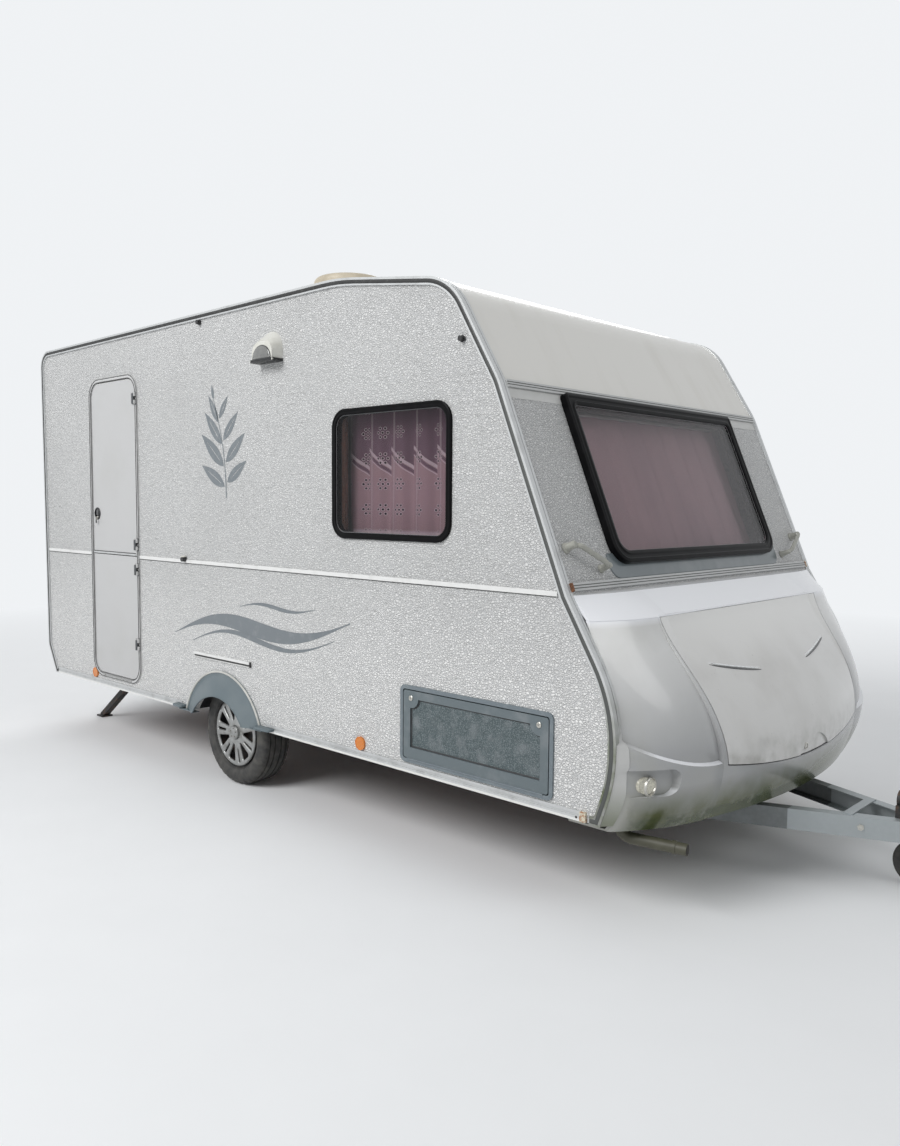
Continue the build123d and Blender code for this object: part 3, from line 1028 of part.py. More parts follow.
rear_grab = bent_bar(rear_grab_path, GRAB_R, GRAB_BEND) - cabin_body
grabs = [bar.solids().sort_by(SortBy.VOLUME)[-1] for bar in (grab, rear_grab)]
save(pair(Compound(grabs)), "grab_handles")

fittings = [
    on_side(Pos(-1110, BELT_Z + 12) * Circle(CATCH_R), HALF + BELT_PROUD, HALF + 30),
    on_side(Pos(-927, 2630) * Circle(KNOB_R), HALF, HALF + 24),
    on_side(Pos(1100, 2313) * Circle(KNOB_R), HALF, HALF + 24),
]
save(Compound(fittings), "wall_knobs")
drain_path = ((1790, 138 - HALF, 400), (1850, 154 - HALF, 304), (2096, 208 - HALF, 300))
drain = bent_bar(drain_path, DRAIN_R, DRAIN_BEND) - bent_bar(drain_path, DRAIN_BORE_R, DRAIN_BEND)
save(drain & below(NOSE_FOOT_Z), "drain_pipe")

# Fridge vents: louvred plates on the left wall
louvre_pitch = FRIDGE_VENT_HEIGHT / (FRIDGE_LOUVRES + 1)
fridge_vents = []
for z in FRIDGE_VENT_ZS:
    plate_face = Pos(FRIDGE_VENT_X, z) * RectangleRounded(FRIDGE_VENT_WIDTH, FRIDGE_VENT_HEIGHT, 24)
    plate = on_side(plate_face, HALF, HALF + FRIDGE_VENT_PROUD)
    for louvre in range(1, FRIDGE_LOUVRES + 1):
        louvre_z = z - FRIDGE_VENT_HEIGHT / 2 + louvre * louvre_pitch
        gap = Pos(FRIDGE_VENT_X, louvre_z) * Rectangle(FRIDGE_VENT_WIDTH - 60, louvre_pitch / 2)
        plate -= on_side(gap, HALF + FRIDGE_VENT_PROUD / 2, HALF + FRIDGE_VENT_PROUD + 1)
    fridge_vents.append(left_of(plate))
save(Compound(fridge_vents), "fridge_vents")

# Rooflight: a curb on the roof under a shallow dome
roof_z = REAR_HEAD_Z + (ROOF_PEAK_Z - REAR_HEAD_Z) * (ROOFLIGHT_X - REAR_HEAD_X) / (ROOF_PEAK_X - REAR_HEAD_X)
curb_z = roof_z + ROOFLIGHT_CURB
rooflight = extrude(Pos(ROOFLIGHT_X, 0, roof_z - WALL) * RectangleRounded(
    ROOFLIGHT_WIDTH + 40, ROOFLIGHT_WIDTH + 40, 40), WALL + ROOFLIGHT_CURB)
rooflight += loft([Pos(ROOFLIGHT_X, 0, z) * RectangleRounded(width, width, radius)
                   for z, width, radius in ((curb_z, ROOFLIGHT_WIDTH, 45),
                                            (curb_z + ROOFLIGHT_RISE * 0.6, ROOFLIGHT_WIDTH - 40, 60),
                                            (curb_z + ROOFLIGHT_RISE, ROOFLIGHT_WIDTH - 130, 90))])
save(rooflight - cabin_body, "rooflight")
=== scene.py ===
import math

import bmesh
import bpy
from mathutils import Matrix, Vector
from mathutils.geometry import tessellate_polygon


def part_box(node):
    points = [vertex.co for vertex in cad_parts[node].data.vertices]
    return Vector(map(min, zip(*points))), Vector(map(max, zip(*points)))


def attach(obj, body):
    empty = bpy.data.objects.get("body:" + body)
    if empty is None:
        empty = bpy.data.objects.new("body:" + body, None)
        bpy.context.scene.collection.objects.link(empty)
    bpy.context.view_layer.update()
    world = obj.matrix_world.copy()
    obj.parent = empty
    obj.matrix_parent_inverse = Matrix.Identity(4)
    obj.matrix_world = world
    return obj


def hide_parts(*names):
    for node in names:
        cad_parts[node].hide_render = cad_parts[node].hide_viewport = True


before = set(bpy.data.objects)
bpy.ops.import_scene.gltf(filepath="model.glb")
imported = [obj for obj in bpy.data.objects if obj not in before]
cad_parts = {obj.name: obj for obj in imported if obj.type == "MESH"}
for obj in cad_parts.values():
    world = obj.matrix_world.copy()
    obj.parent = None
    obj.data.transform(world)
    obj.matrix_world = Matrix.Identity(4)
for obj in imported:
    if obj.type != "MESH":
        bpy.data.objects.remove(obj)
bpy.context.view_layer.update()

# Camera: held at eye height in front of the nose on the door side. Its place, turn and lens
# were solved from the caravan's straight edges.
CAMERA_PLACE = Vector((3.842, -4.142, 1.620))
CAMERA_YAW, CAMERA_PITCH, CAMERA_ROLL = math.radians(43.20), math.radians(4.25), math.radians(0.42)
CAMERA_LENS, SENSOR_WIDTH = 29.65, 36

ahead = Vector((-math.sin(CAMERA_YAW) * math.cos(CAMERA_PITCH),
                math.cos(CAMERA_YAW) * math.cos(CAMERA_PITCH), -math.sin(CAMERA_PITCH)))
level = Vector((math.cos(CAMERA_YAW), math.sin(CAMERA_YAW), 0))
upright = level.cross(ahead)
right = level * math.cos(CAMERA_ROLL) + upright * math.sin(CAMERA_ROLL)
up = upright * math.cos(CAMERA_ROLL) - level * math.sin(CAMERA_ROLL)
camera = bpy.data.objects.new("camera", bpy.data.cameras.new("camera"))
camera.data.lens = CAMERA_LENS
camera.data.sensor_width = SENSOR_WIDTH
camera.matrix_world = Matrix.Translation(CAMERA_PLACE) @ Matrix((right, up, -ahead)).transposed().to_4x4()
bpy.context.scene.collection.objects.link(camera)
bpy.context.scene.camera = camera
bpy.context.scene.view_settings.view_transform = "Standard"

# Studio light: a big soft key from high on the door side, a weaker one from ahead, and a pale
# world whose light on the caravan is lower than the background that shows behind it.
LAMPS = (
    # name, place, aim, width, watts
    ("key_light", (-0.8, -9.5, 7.5), (0.2, 0, 1.0), 6.0, 800),
    ("front_light", (8.5, 0.5, 6.0), (1.5, 0, 1.2), 5.0, 105),
    ("back_light", (-6.0, 8.0, 6.5), (-1.0, 0, 1.2), 6.0, 420),
)
for name, place, aim, width, watts in LAMPS:
    lamp = bpy.data.objects.new(name, bpy.data.lights.new(name, "AREA"))
    lamp.data.shape = "DISK"
    lamp.data.size = width
    lamp.data.energy = watts
    lamp.location = place
    lamp.rotation_euler = (Vector(aim) - Vector(place)).to_track_quat("-Z", "Y").to_euler()
    bpy.context.scene.collection.objects.link(lamp)

BACKGROUND = (0.87, 0.89, 0.91)
WORLD_LIGHT, WORLD_SHOWN = 0.42, 1.0
world = bpy.data.worlds.new("pale_world")
world.use_nodes = True
bpy.context.scene.world = world


def step(owner, kind, inputs, **settings):
    """New node of a finish or of the world; an input is a plain value or another node's output."""
    made = owner.node_tree.nodes.new(kind)
    for name, value in settings.items():
        setattr(made, name, value)
    for name, value in inputs.items():
        if isinstance(value, bpy.types.NodeSocket):
            owner.node_tree.links.new(value, made.inputs[name])
        else:
            made.inputs[name].default_value = value
    return made


def maths(owner, kind, *values, use_clamp=False):
    """Result of one sum on up to three values."""
    node = step(owner, "ShaderNodeMath", dict(enumerate(values)), operation=kind, use_clamp=use_clamp)
    return node.outputs[0]


def times(owner, first, second):
    """Product, held between 0 and 1."""
    return maths(owner, "MULTIPLY", first, second, use_clamp=True)


def between(owner, value, low, high, start=0.0, end=1.0):
    """Value from start at low to end at high, held beyond them."""
    return step(owner, "ShaderNodeMapRange", {"Value": value, "From Min": low, "From Max": high,
                                              "To Min": start, "To Max": end}).outputs["Result"]


def shown_directly(owner):
    """1 for rays that show the background: to the camera, by a mirror or through glass."""
    rays = step(owner, "ShaderNodeLightPath", {}).outputs
    seen = maths(owner, "ADD", rays["Is Camera Ray"], rays["Is Glossy Ray"], use_clamp=True)
    return maths(owner, "ADD", seen, rays["Is Transmission Ray"], use_clamp=True)


sky = world.node_tree.nodes["Background"]
sky.inputs["Color"].default_value = (*BACKGROUND, 1)
world.node_tree.links.new(between(world, shown_directly(world), 0, 1, WORLD_LIGHT, WORLD_SHOWN),
                          sky.inputs["Strength"])

# Studio floor: a plain pale ground that takes the caravan's shadow and fades into the
# background a few metres behind it.
FLOOR_PALE, FLOOR_WORN = (0.90, 0.91, 0.92), (0.87, 0.88, 0.89)
FLOOR_HALF, FLOOR_DROP = 60, 0.001
FADE_NEAR, FADE_FAR = 3.6, 10.5
COAT_ROUGHNESS = 0.08


def shader_of(finish):
    return finish.node_tree.nodes["Principled BSDF"]


def finish_of(name, colour, roughness, metallic=0.0, coat=0.0):
    """New finish with one shader, whose even values sit on its own sockets."""
    finish = bpy.data.materials.new(name)
    finish.use_nodes = True
    for socket, value in (("Base Color", (*colour, 1)), ("Roughness", roughness), ("Metallic", metallic),
                          ("Coat Weight", coat), ("Coat Roughness", COAT_ROUGHNESS)):
        shader_of(finish).inputs[socket].default_value = value
    return finish


def on_piece(finish, stretch=(1, 1, 1)):
    """Place on the piece in metres, times the stretch."""
    coords = step(finish, "ShaderNodeTexCoord", {})
    return step(finish, "ShaderNodeMapping", {"Vector": coords.outputs["Object"],
                                              "Scale": stretch}).outputs["Vector"]


def cloudy(finish, per_metre, stretch=(1, 1, 1), detail=2.0):
    """Noise from 0 to 1 with so many spots a metre."""
    return step(finish, "ShaderNodeTexNoise", {"Vector": on_piece(finish, stretch), "Scale": per_metre,
                                               "Detail": detail}).outputs["Fac"]


def tinted(finish, share, colour):
    """Mixes another colour in where the share is near 1."""
    base = shader_of(finish).inputs["Base Color"]
    mix = step(finish, "ShaderNodeMix", {"Factor": share}, data_type="RGBA")
    first, second = mix.inputs[6], mix.inputs[7]
    if base.is_linked:
        finish.node_tree.links.new(base.links[0].from_socket, first)
    else:
        first.default_value = base.default_value
    second.default_value = (*colour, 1)
    finish.node_tree.links.new(mix.outputs[2], base)


def spotted(finish, colour, per_metre, low=0, high=1, detail=5, stretch=(1, 1, 1)):
    """Mixes another colour in where noise passes from low to high."""
    tinted(finish, between(finish, cloudy(finish, per_metre, stretch, detail), low, high), colour)


floor_finish = finish_of("pale_ground", FLOOR_PALE, 0.9)
spotted(floor_finish, FLOOR_WORN, 3, detail=4)
distance = step(floor_finish, "ShaderNodeVectorMath", {0: on_piece(floor_finish)}, operation="LENGTH")
faded = times(floor_finish, between(floor_finish, distance.outputs["Value"], FADE_NEAR, FADE_FAR),
              shown_directly(floor_finish))
haze = step(floor_finish, "ShaderNodeEmission", {"Color": (*BACKGROUND, 1), "Strength": WORLD_SHOWN})
ground_mix = step(floor_finish, "ShaderNodeMixShader",
                  {0: faded, 1: shader_of(floor_finish).outputs["BSDF"], 2: haze.outputs["Emission"]})
floor_finish.node_tree.links.new(ground_mix.outputs["Shader"],
                                 floor_finish.node_tree.nodes["Material Output"].inputs["Surface"])
ground = bmesh.new()
bmesh.ops.create_grid(ground, x_segments=2, y_segments=2, size=FLOOR_HALF)
floor = bpy.data.objects.new("studio_ground", bpy.data.meshes.new("studio_ground"))
ground.to_mesh(floor.data)
floor.data.materials.append(floor_finish)
floor.location.z = -FLOOR_DROP
bpy.context.scene.collection.objects.link(floor)

# Side, front and rear sheets: white-painted aluminium rolled with a hammered grain, so that
# light breaks on it, glued over the wall panels and held at its edges by the rails. The grain's
# pits are darkened as painted shade, and the walls are painted lighter towards the foot as
# painted light.
WALL_WHITE, WALL_SHADE, WALL_PIT_SHADE = (0.72, 0.72, 0.71), (0.665, 0.665, 0.655), (0.43, 0.435, 0.44)
LOWER_WALL_PAINTED_LIGHT, PAINTED_LIGHT_FROM_Z, PAINTED_LIGHT_TO_Z = (0.90, 0.895, 0.88), 1.27, 0.80
GRAIN_PER_METRE, GRAIN_DEPTH, GRAIN_STRETCH = 88.0, 0.0038, (0.78, 0.78, 1.25)
WAVER_PER_METRE, WAVER = 60.0, (0.016, 0.016, 0.016)


def relief(finish, height, depth):
    """Bump of a depth in metres, over any bump that is there."""
    normal = shader_of(finish).inputs["Normal"]
    bump = step(finish, "ShaderNodeBump", {"Height": height, "Distance": depth})
    if normal.is_linked:
        finish.node_tree.links.new(normal.links[0].from_socket, bump.inputs["Normal"])
    finish.node_tree.links.new(bump.outputs["Normal"], normal)


def along(finish, axis):
    """Place along X, Y or Z in metres."""
    coords = step(finish, "ShaderNodeTexCoord", {})
    return step(finish, "ShaderNodeSeparateXYZ", {"Vector": coords.outputs["Object"]}).outputs[axis]


def graded(finish, colour, axis, near, far, most=1.0):
    """Mixes another colour in from near to far along an axis."""
    tinted(finish, between(finish, along(finish, axis), near, far, 0, most), colour)


def dressed(finish, *nodes):
    """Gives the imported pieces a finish."""
    for node in nodes:
        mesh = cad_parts[node].data
        mesh.materials.clear()
        mesh.materials.append(finish)


wall_finish = finish_of("hammered_sheet", WALL_WHITE, 0.42)
spotted(wall_finish, WALL_SHADE, 1.6, 0.35, 0.75, detail=4)
# painted light: the walls are painted lighter from 1.27 m down to 0.80 m
graded(wall_finish, LOWER_WALL_PAINTED_LIGHT, "Z", PAINTED_LIGHT_FROM_Z, PAINTED_LIGHT_TO_Z, 0.7)
waver = step(wall_finish, "ShaderNodeTexNoise",
             {"Vector": on_piece(wall_finish), "Scale": WAVER_PER_METRE, "Detail": 1.0}).outputs["Color"]
waved = step(wall_finish, "ShaderNodeVectorMath",
             {0: waver, 1: WAVER, 2: on_piece(wall_finish, GRAIN_STRETCH)},
             operation="MULTIPLY_ADD").outputs["Vector"]
pebbles = step(wall_finish, "ShaderNodeTexVoronoi", {"Vector": waved, "Scale": GRAIN_PER_METRE},
               feature="DISTANCE_TO_EDGE").outputs["Distance"]
# painted shade: the grain's pits are darkened
tinted(wall_finish, between(wall_finish, pebbles, 0.15, 0.01), WALL_PIT_SHADE)
relief(wall_finish, between(wall_finish, pebbles, 0.0, 0.32), GRAIN_DEPTH)
dressed(wall_finish, "side_upper_right", "side_lower_right", "side_upper_left", "side_lower_left",
        "front_wall", "rear_wall")
HALF = -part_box("side_upper_right")[0].y

# Roof sheet and glass-fibre cap: the roof is smooth white sheet, the cap a cream moulding that
# has yellowed a little and carries faint dirt down its slope.
ROOF_WHITE, ROOF_DUST = (0.72, 0.72, 0.71), (0.56, 0.56, 0.53)
CAP_CREAM, CAP_DIRT = (0.74, 0.725, 0.685), (0.66, 0.64, 0.59)
roof_finish = finish_of("roof_sheet", ROOF_WHITE, 0.42)
spotted(roof_finish, ROOF_DUST, 5, 0.5, 0.8, detail=6)
dressed(roof_finish, "roof")
cap_finish = finish_of("cap_moulding", CAP_CREAM, 0.34, coat=0.25)
streaks = cloudy(cap_finish, 3.5, stretch=(0.4, 2.2, 0.4), detail=5)
tinted(cap_finish, between(cap_finish, streaks, 0.50, 0.9), CAP_DIRT)
spotted(cap_finish, CAP_DIRT, 55, 0.72, 0.80, detail=3)
dressed(cap_finish, "front_cap")

# Edge rails: satin aluminium extrusions that wrap the wall's edge, dulled by weather and green
# with algae low down, with a black rubber insert pressed into the groove of the side flange.
# Low at the front a painted strip fills the step between the rail and the nose.
RAIL_ALUMINIUM, RAIL_DULL = (0.56, 0.57, 0.57), (0.38, 0.385, 0.38)
RAIL_ALGAE, RAIL_OLD, APRON_WHITE = (0.13, 0.15, 0.08), (0.20, 0.20, 0.18), (0.50, 0.50, 0.49)
INSERT_BLACK, INSERT_DUST, INSERT_GREY = (0.016, 0.016, 0.016), (0.05, 0.05, 0.048), (0.085, 0.09, 0.085)
INSERT_FLOOR = 0.006
APRON_FOOT_Z, APRON_HEAD_Z, APRON_STEPS = 0.3825, 0.795, 24
APRON_OUTER, APRON_INNER, APRON_DEEP = 1.1580, 1.1183, 0.012
RAIL_EDGE_Y, NOSE_EDGE_Y = 1.134, 1.1172
INSERT_LEVELS = ((0.0003, 0), (0.0003, 0.0030), (0.0030, 0.0046), (0.0060, 0.0052))
OUT_RIGHT, OUT_LEFT, UPWARD, AHEAD = (Vector(way) for way in ((0, -1, 0), (0, 1, 0), (0, 0, 1), (1, 0, 0)))
SIDES = ((-1, OUT_RIGHT, "right"), (1, OUT_LEFT, "left"))


def flat_loops(node, place, normal):
    """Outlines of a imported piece's flat face that goes through the place."""
    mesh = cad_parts[node].data
    edges = set()
    for face in mesh.polygons:
        if face.normal.dot(normal) > 0.9995 and abs((face.center - Vector(place)).dot(normal)) < 2e-4:
            keys = [tuple(round(value, 5) for value in mesh.vertices[index].co) for index in face.vertices]
            for start, end in zip(keys, keys[1:] + keys[:1]):
                if (end, start) in edges:
                    edges.remove((end, start))
                elif start != end:
                    edges.add((start, end))
    following = dict(sorted(edges))
    loops = []
    while following:
        first, after = following.popitem()
        loop = [Vector(first)]
        while after != first and after in following:
            loop.append(Vector(after))
            after = following.pop(after)
        if len(loop) > 2:
            loops.append(loop)
    return loops


def struck(node, origin, way):
    """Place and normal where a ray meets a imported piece."""
    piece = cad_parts[node]
    back = piece.matrix_world.inverted()
    _, place, normal, _ = piece.ray_cast(back @ Vector(origin), (back.to_3x3() @ Vector(way)).normalized())
    return piece.matrix_world @ place, piece.matrix_world.to_3x3() @ normal


def inward(points, normal):
    """For each point of a closed outline, the mitred way to its left side."""
    ways = []
    for before, place, after in zip([points[-1], *points], points, [*points[1:], points[0]]):
        first = normal.cross(place - before).normalized()
        second = normal.cross(after - place).normalized()
        ways.append((first + second) / max(1 + first.dot(second), 0.3))
    return ways


def made(name, shape, finish, body="caravan", crease=35):
    """Closes a drawn shape as a new piece that rides on a body."""
    bmesh.ops.recalc_face_normals(shape, faces=shape.faces)
    mesh = bpy.data.meshes.new(name)
    shape.to_mesh(mesh)
    shape.free()
    mesh.materials.append(finish)
    mesh.shade_smooth()
    mesh.set_sharp_from_angle(angle=math.radians(crease))
    piece = bpy.data.objects.new(name, mesh)
    bpy.context.scene.collection.objects.link(piece)
    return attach(piece, body)


def joined_rings(shape, rings, closed=True, capped=False):
    """Faces between rings of vertices that follow one another, and over the end rings if capped."""
    for low, high in zip(rings, rings[1:]):
        for k in range(len(low) if closed else len(low) - 1):
            after = (k + 1) % len(low)
            shape.faces.new((low[k], low[after], high[after], high[k]))
    for ring in (rings[0], rings[-1]) if capped else ():
        shape.faces.new(ring)


def stepped(shape, loop, levels, normal):
    """Rings of vertices along a closed outline, one for each (inset, height) level."""
    ways = inward(loop, normal)
    return [[shape.verts.new(place + way * inset + normal * height) for place, way in zip(loop, ways)]
            for inset, height in levels]


def raised(name, loops, levels, normal, finish, body="caravan"):
    """Plate over closed outlines, whose edge rises by (inset, height) levels to a flat top."""
    shape = bmesh.new()
    feet, tops = [], []
    for loop in loops:
        rings = stepped(shape, loop, levels, normal)
        joined_rings(shape, rings)
        feet.append(rings[0])
        tops.append(rings[-1])
    for rings in (feet, tops):
        corners = [vertex for ring in rings for vertex in ring]
        for face in tessellate_polygon([[vertex.co for vertex in ring] for ring in rings]):
            if len({corners[k] for k in face}) == 3:
                shape.faces.new([corners[k] for k in face])
    return made(name, shape, finish, body)


rail_finish = finish_of("satin_rail", RAIL_ALUMINIUM, 0.42, metallic=0.45)
spotted(rail_finish, RAIL_DULL, 9, 0.55, 0.85)
rail_low = between(rail_finish, along(rail_finish, "Z"), 0.95, 0.50)
rail_front = between(rail_finish, along(rail_finish, "X"), 1.55, 1.70)
tinted(rail_finish, times(rail_finish, rail_low, times(rail_finish, rail_front, 0.75)), RAIL_OLD)
green = between(rail_finish, cloudy(rail_finish, 16, detail=5), 0.30, 0.62)
tinted(rail_finish, times(rail_finish, times(rail_finish, rail_low, rail_front), green), RAIL_ALGAE)
relief(rail_finish, cloudy(rail_finish, 260, detail=2), 0.0002)
dressed(rail_finish, "edge_rails")
insert_finish = finish_of("rail_rubber", INSERT_BLACK, 0.5)
spotted(insert_finish, INSERT_DUST, 30, 0.5, 0.8)
graded(insert_finish, INSERT_GREY, "X", 1.10, 1.40, 0.8)
apron_finish = finish_of("apron_trim", APRON_WHITE, 0.35)
graded(apron_finish, RAIL_ALGAE, "Z", 0.56, 0.40, 0.75)
for side, normal, word in SIDES:
    loops = flat_loops("edge_rails", normal * (HALF + INSERT_FLOOR), normal)
    raised(f"edge_insert_{word}", loops, INSERT_LEVELS, normal, insert_finish)
    shape = bmesh.new()
    rings = []
    for k in range(APRON_STEPS + 1):
        z = APRON_FOOT_Z + (APRON_HEAD_Z - APRON_FOOT_Z) * k / APRON_STEPS
        rail_x = struck("edge_rails", (4, side * RAIL_EDGE_Y, z), -AHEAD)[0].x
        nose_x = max(struck("nose", (4, side * NOSE_EDGE_Y, z), -AHEAD)[0].x + 0.0015, rail_x)
        back_x = rail_x - APRON_DEEP
        section = ((rail_x + 0.0005, APRON_OUTER), (nose_x, APRON_INNER), (back_x, APRON_INNER),
                   (back_x, APRON_OUTER))
        rings.append([shape.verts.new((x, side * y, z)) for x, y in section])
    joined_rings(shape, rings, capped=True)
    made(f"rail_apron_{word}", shape, apron_finish)

# Belt rails and the strip over the wheel: white capping on an aluminium carrier. A black strip
# under each rail is painted shadow, and black plates in the strip's slot and over its open front
# end are painted shade.
CAPPING_WHITE, CAPPING_DUST = (0.74, 0.74, 0.73), (0.60, 0.60, 0.58)
BELT_SHADOW_HIGH, BELT_SHADOW_OUT = 0.004, 0.0035
STRIP_SLOT_LOW, STRIP_SLOT, STRIP_SLOT_FLOOR = 0.004, 0.011, 0.002
STRIP_END, STRIP_HIGH = 0.010, 0.030
THIN_LEVELS = ((0, 0), (0, 0.0015), (0.0006, 0.0021))


def rounded(low, high, foot_r, head_r, steps=6):
    """Closed outline of a rectangle with round corners, anticlockwise from its lower left."""
    corners = (
        # corner, ways to the middle of its round, radius, turn where the round starts
        (low[0], low[1], 1, 1, foot_r, 180), (high[0], low[1], -1, 1, foot_r, 270),
        (high[0], high[1], -1, -1, head_r, 0), (low[0], high[1], 1, -1, head_r, 90),
    )
    points = []
    for x, y, dx, dy, radius, start in corners:
        for k in range(steps + 1):
            turn = math.radians(start + 90 * k / steps)
            points.append((x + dx * radius + radius * math.cos(turn),
                           y + dy * radius + radius * math.sin(turn)))
    return points


def on_wall(points, out=0.0, side=-1):
    """Outline on a side wall, out from it; the left wall's is the door side's mirrored."""
    loop = [Vector((x, side * (HALF + out), z)) for x, z in points]
    return loop if side < 0 else loop[::-1]


capping_finish = finish_of("white_capping", CAPPING_WHITE, 0.35, coat=0.2)
spotted(capping_finish, CAPPING_DUST, 12, 0.5, 0.85)
dressed(capping_finish, "belt_rails")
# painted shadow: a black strip under each belt rail
for side, normal, word in SIDES:
    for count, loop in enumerate(flat_loops("belt_rails", normal * (HALF + 0.006), normal)):
        xs, low_z = [place.x for place in loop], min(place.z for place in loop)
        line = on_wall(rounded((min(xs), low_z - BELT_SHADOW_HIGH), (max(xs), low_z), 0.0005, 0.0005, 1), 0, side)
        raised(f"belt_painted_shadow_{word}_{count}", [line],
               ((0, 0), (0, BELT_SHADOW_OUT), (0.0006, BELT_SHADOW_OUT + 0.0006)), normal, insert_finish)
strip_loops = flat_loops("belt_rails", OUT_RIGHT * (HALF + 0.010), OUT_RIGHT)
strip_points = [place for loop in strip_loops for place in loop]
strip_x0, strip_x1 = (pick(place.x for place in strip_points) for pick in (min, max))
strip_z0 = min(place.z for place in strip_points)
# painted shade: black plates in the strip's slot and over its open front end
slot = rounded((strip_x0 + 0.001, strip_z0 + STRIP_SLOT_LOW + 0.0005),
               (strip_x1 - 0.001, strip_z0 + STRIP_SLOT_LOW + STRIP_SLOT - 0.0005), 0.001, 0.001, 1)
raised("strip_slot_shade", [on_wall(slot, STRIP_SLOT_FLOOR)], THIN_LEVELS, OUT_RIGHT, insert_finish)
strip_end = rounded((strip_x1 + 0.0003, strip_z0), (strip_x1 + STRIP_END, strip_z0 + STRIP_HIGH),
                    0.002, 0.002, 2)
raised("strip_end_shade", [on_wall(strip_end)], ((0, 0), (0, 0.008), (0.001, 0.009)), OUT_RIGHT, insert_finish)

# Skirt rails: aluminium extrusions along the foot of the side walls, with a white lower lip and a
# cream end plug at the front, brown with rust from its screw.
SKIRT_LIP_Z, SKIRT_LIP_WHITE = 0.390, (0.78, 0.78, 0.76)
PLUG_LONG, PLUG_OUT, HOLE_BACK, HOLE_UP = 0.026, 0.0105, 0.042, 0.014
PLUG_CREAM, PLUG_RUST = (0.62, 0.58, 0.46), (0.32, 0.11, 0.03)
skirt_finish = finish_of("skirt_extrusion", RAIL_ALUMINIUM, 0.42, metallic=0.35)
spotted(skirt_finish, RAIL_DULL, 14, 0.5, 0.85)
graded(skirt_finish, SKIRT_LIP_WHITE, "Z", SKIRT_LIP_Z + 0.001, SKIRT_LIP_Z)
dressed(skirt_finish, "skirt_rails")
plug_finish = finish_of("cream_plug", PLUG_CREAM, 0.5)
spotted(plug_finish, PLUG_RUST, 90, 0.45, 0.62, detail=4)
hole_finish = finish_of("dark_hole", (0.01, 0.01, 0.01), 0.8)
spotted(hole_finish, (0.03, 0.025, 0.02), 200, detail=2)
skirt_low, skirt_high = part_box("skirt_rails")


def turned(name, rows, centre, axis, finish, body="caravan", steps=32):
    """Lathe piece from (place along the axis, radius) rows; a radius of 0 closes it."""
    axis = Vector(axis).normalized()
    across = axis.orthogonal().normalized()
    over = axis.cross(across)
    shape = bmesh.new()
    rings = []
    for place, radius in rows:
        middle = Vector(centre) + axis * place
        turns = [2 * math.pi * k / steps for k in range(steps)] if radius else [0]
        rings.append([shape.verts.new(middle + (across * math.cos(turn) + over * math.sin(turn)) * radius)
                      for turn in turns])
    for low, high in zip(rings, rings[1:]):
        for k in range(steps):
            after = k + 1
            corners = [low[k % len(low)], low[after % len(low)], high[after % len(high)], high[k % len(high)]]
            corners = [corner for number, corner in enumerate(corners) if corner not in corners[:number]]
            if len(corners) > 2:
                shape.faces.new(corners)
    return made(name, shape, finish, body)


for side, normal, word in SIDES:
    plug = rounded((skirt_high.x - PLUG_LONG, skirt_low.z + 0.0005),
                   (skirt_high.x + 0.004, skirt_high.z + 0.0005), 0.003, 0.004, 3)
    raised(f"skirt_plug_{word}", [on_wall(plug, 0, side)],
           ((0, 0), (0, PLUG_OUT), (0.001, PLUG_OUT + 0.001)), normal, plug_finish)
    turned(f"skirt_hole_{word}", ((0, 0), (0, 0.005), (0.0008, 0.005), (0.0008, 0)),
           (skirt_high.x - HOLE_BACK, side * (HALF + 0.008), skirt_low.z + HOLE_UP), normal, hole_finish,
           steps=12)

# Front trims: two aluminium extrusions across the sloping front, each with two grooves filled
# with dark rubber. A smooth smoked plate fills the gap between the ledge trim and the window,
# and a smooth strip closes the sheet under the head trim; the door-side end cap has rusted.
LEDGE_TRIM_Z, HEAD_TRIM_Z, FRONT_FOOT, FRONT_LEAN = 1.272, 2.096, (1.662, 1.260), 0.41379
TRIM_OUT, TRIM_GROOVE, TRIM_GROOVES = 0.012, 0.004, (0.0113, 0.0227)
PLATE_FOOT, PLATE_HEAD, PLATE_HALF, PLATE_R = 0.0365, 0.150, 0.800, 0.060
HEAD_STRIP, TRIM_CAP_HALF = 0.046, 0.007
TRIM_GREY, PLATE_SMOKE = (0.47, 0.475, 0.47), (0.130, 0.155, 0.165)
STRIP_CREAM, CAP_BROWN = (0.60, 0.60, 0.585), (0.26, 0.10, 0.04)
trim_finish = finish_of("trim_extrusion", TRIM_GREY, 0.38, metallic=0.35)
spotted(trim_finish, RAIL_DULL, 11, 0.5, 0.85, stretch=(1, 0.5, 3))
dressed(trim_finish, "front_trims")
SLOPE = math.atan(FRONT_LEAN)
FRONT_OUT = Vector((math.cos(SLOPE), 0, math.sin(SLOPE)))
FRONT_UP = Vector((-math.sin(SLOPE), 0, math.cos(SLOPE)))
trim_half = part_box("front_trims")[1].y


def slope_point(z, y, out=0.0):
    """Place on the sloping front at a height, out from it."""
    return Vector((FRONT_FOOT[0] - (z - FRONT_FOOT[1]) * FRONT_LEAN, y, z)) + FRONT_OUT * out


def on_slope(z, points, out=0.0):
    """Outline of (y, way up the slope) places measured from a height on the sloping front."""
    return [slope_point(z, y, out) + FRONT_UP * rise for y, rise in points]


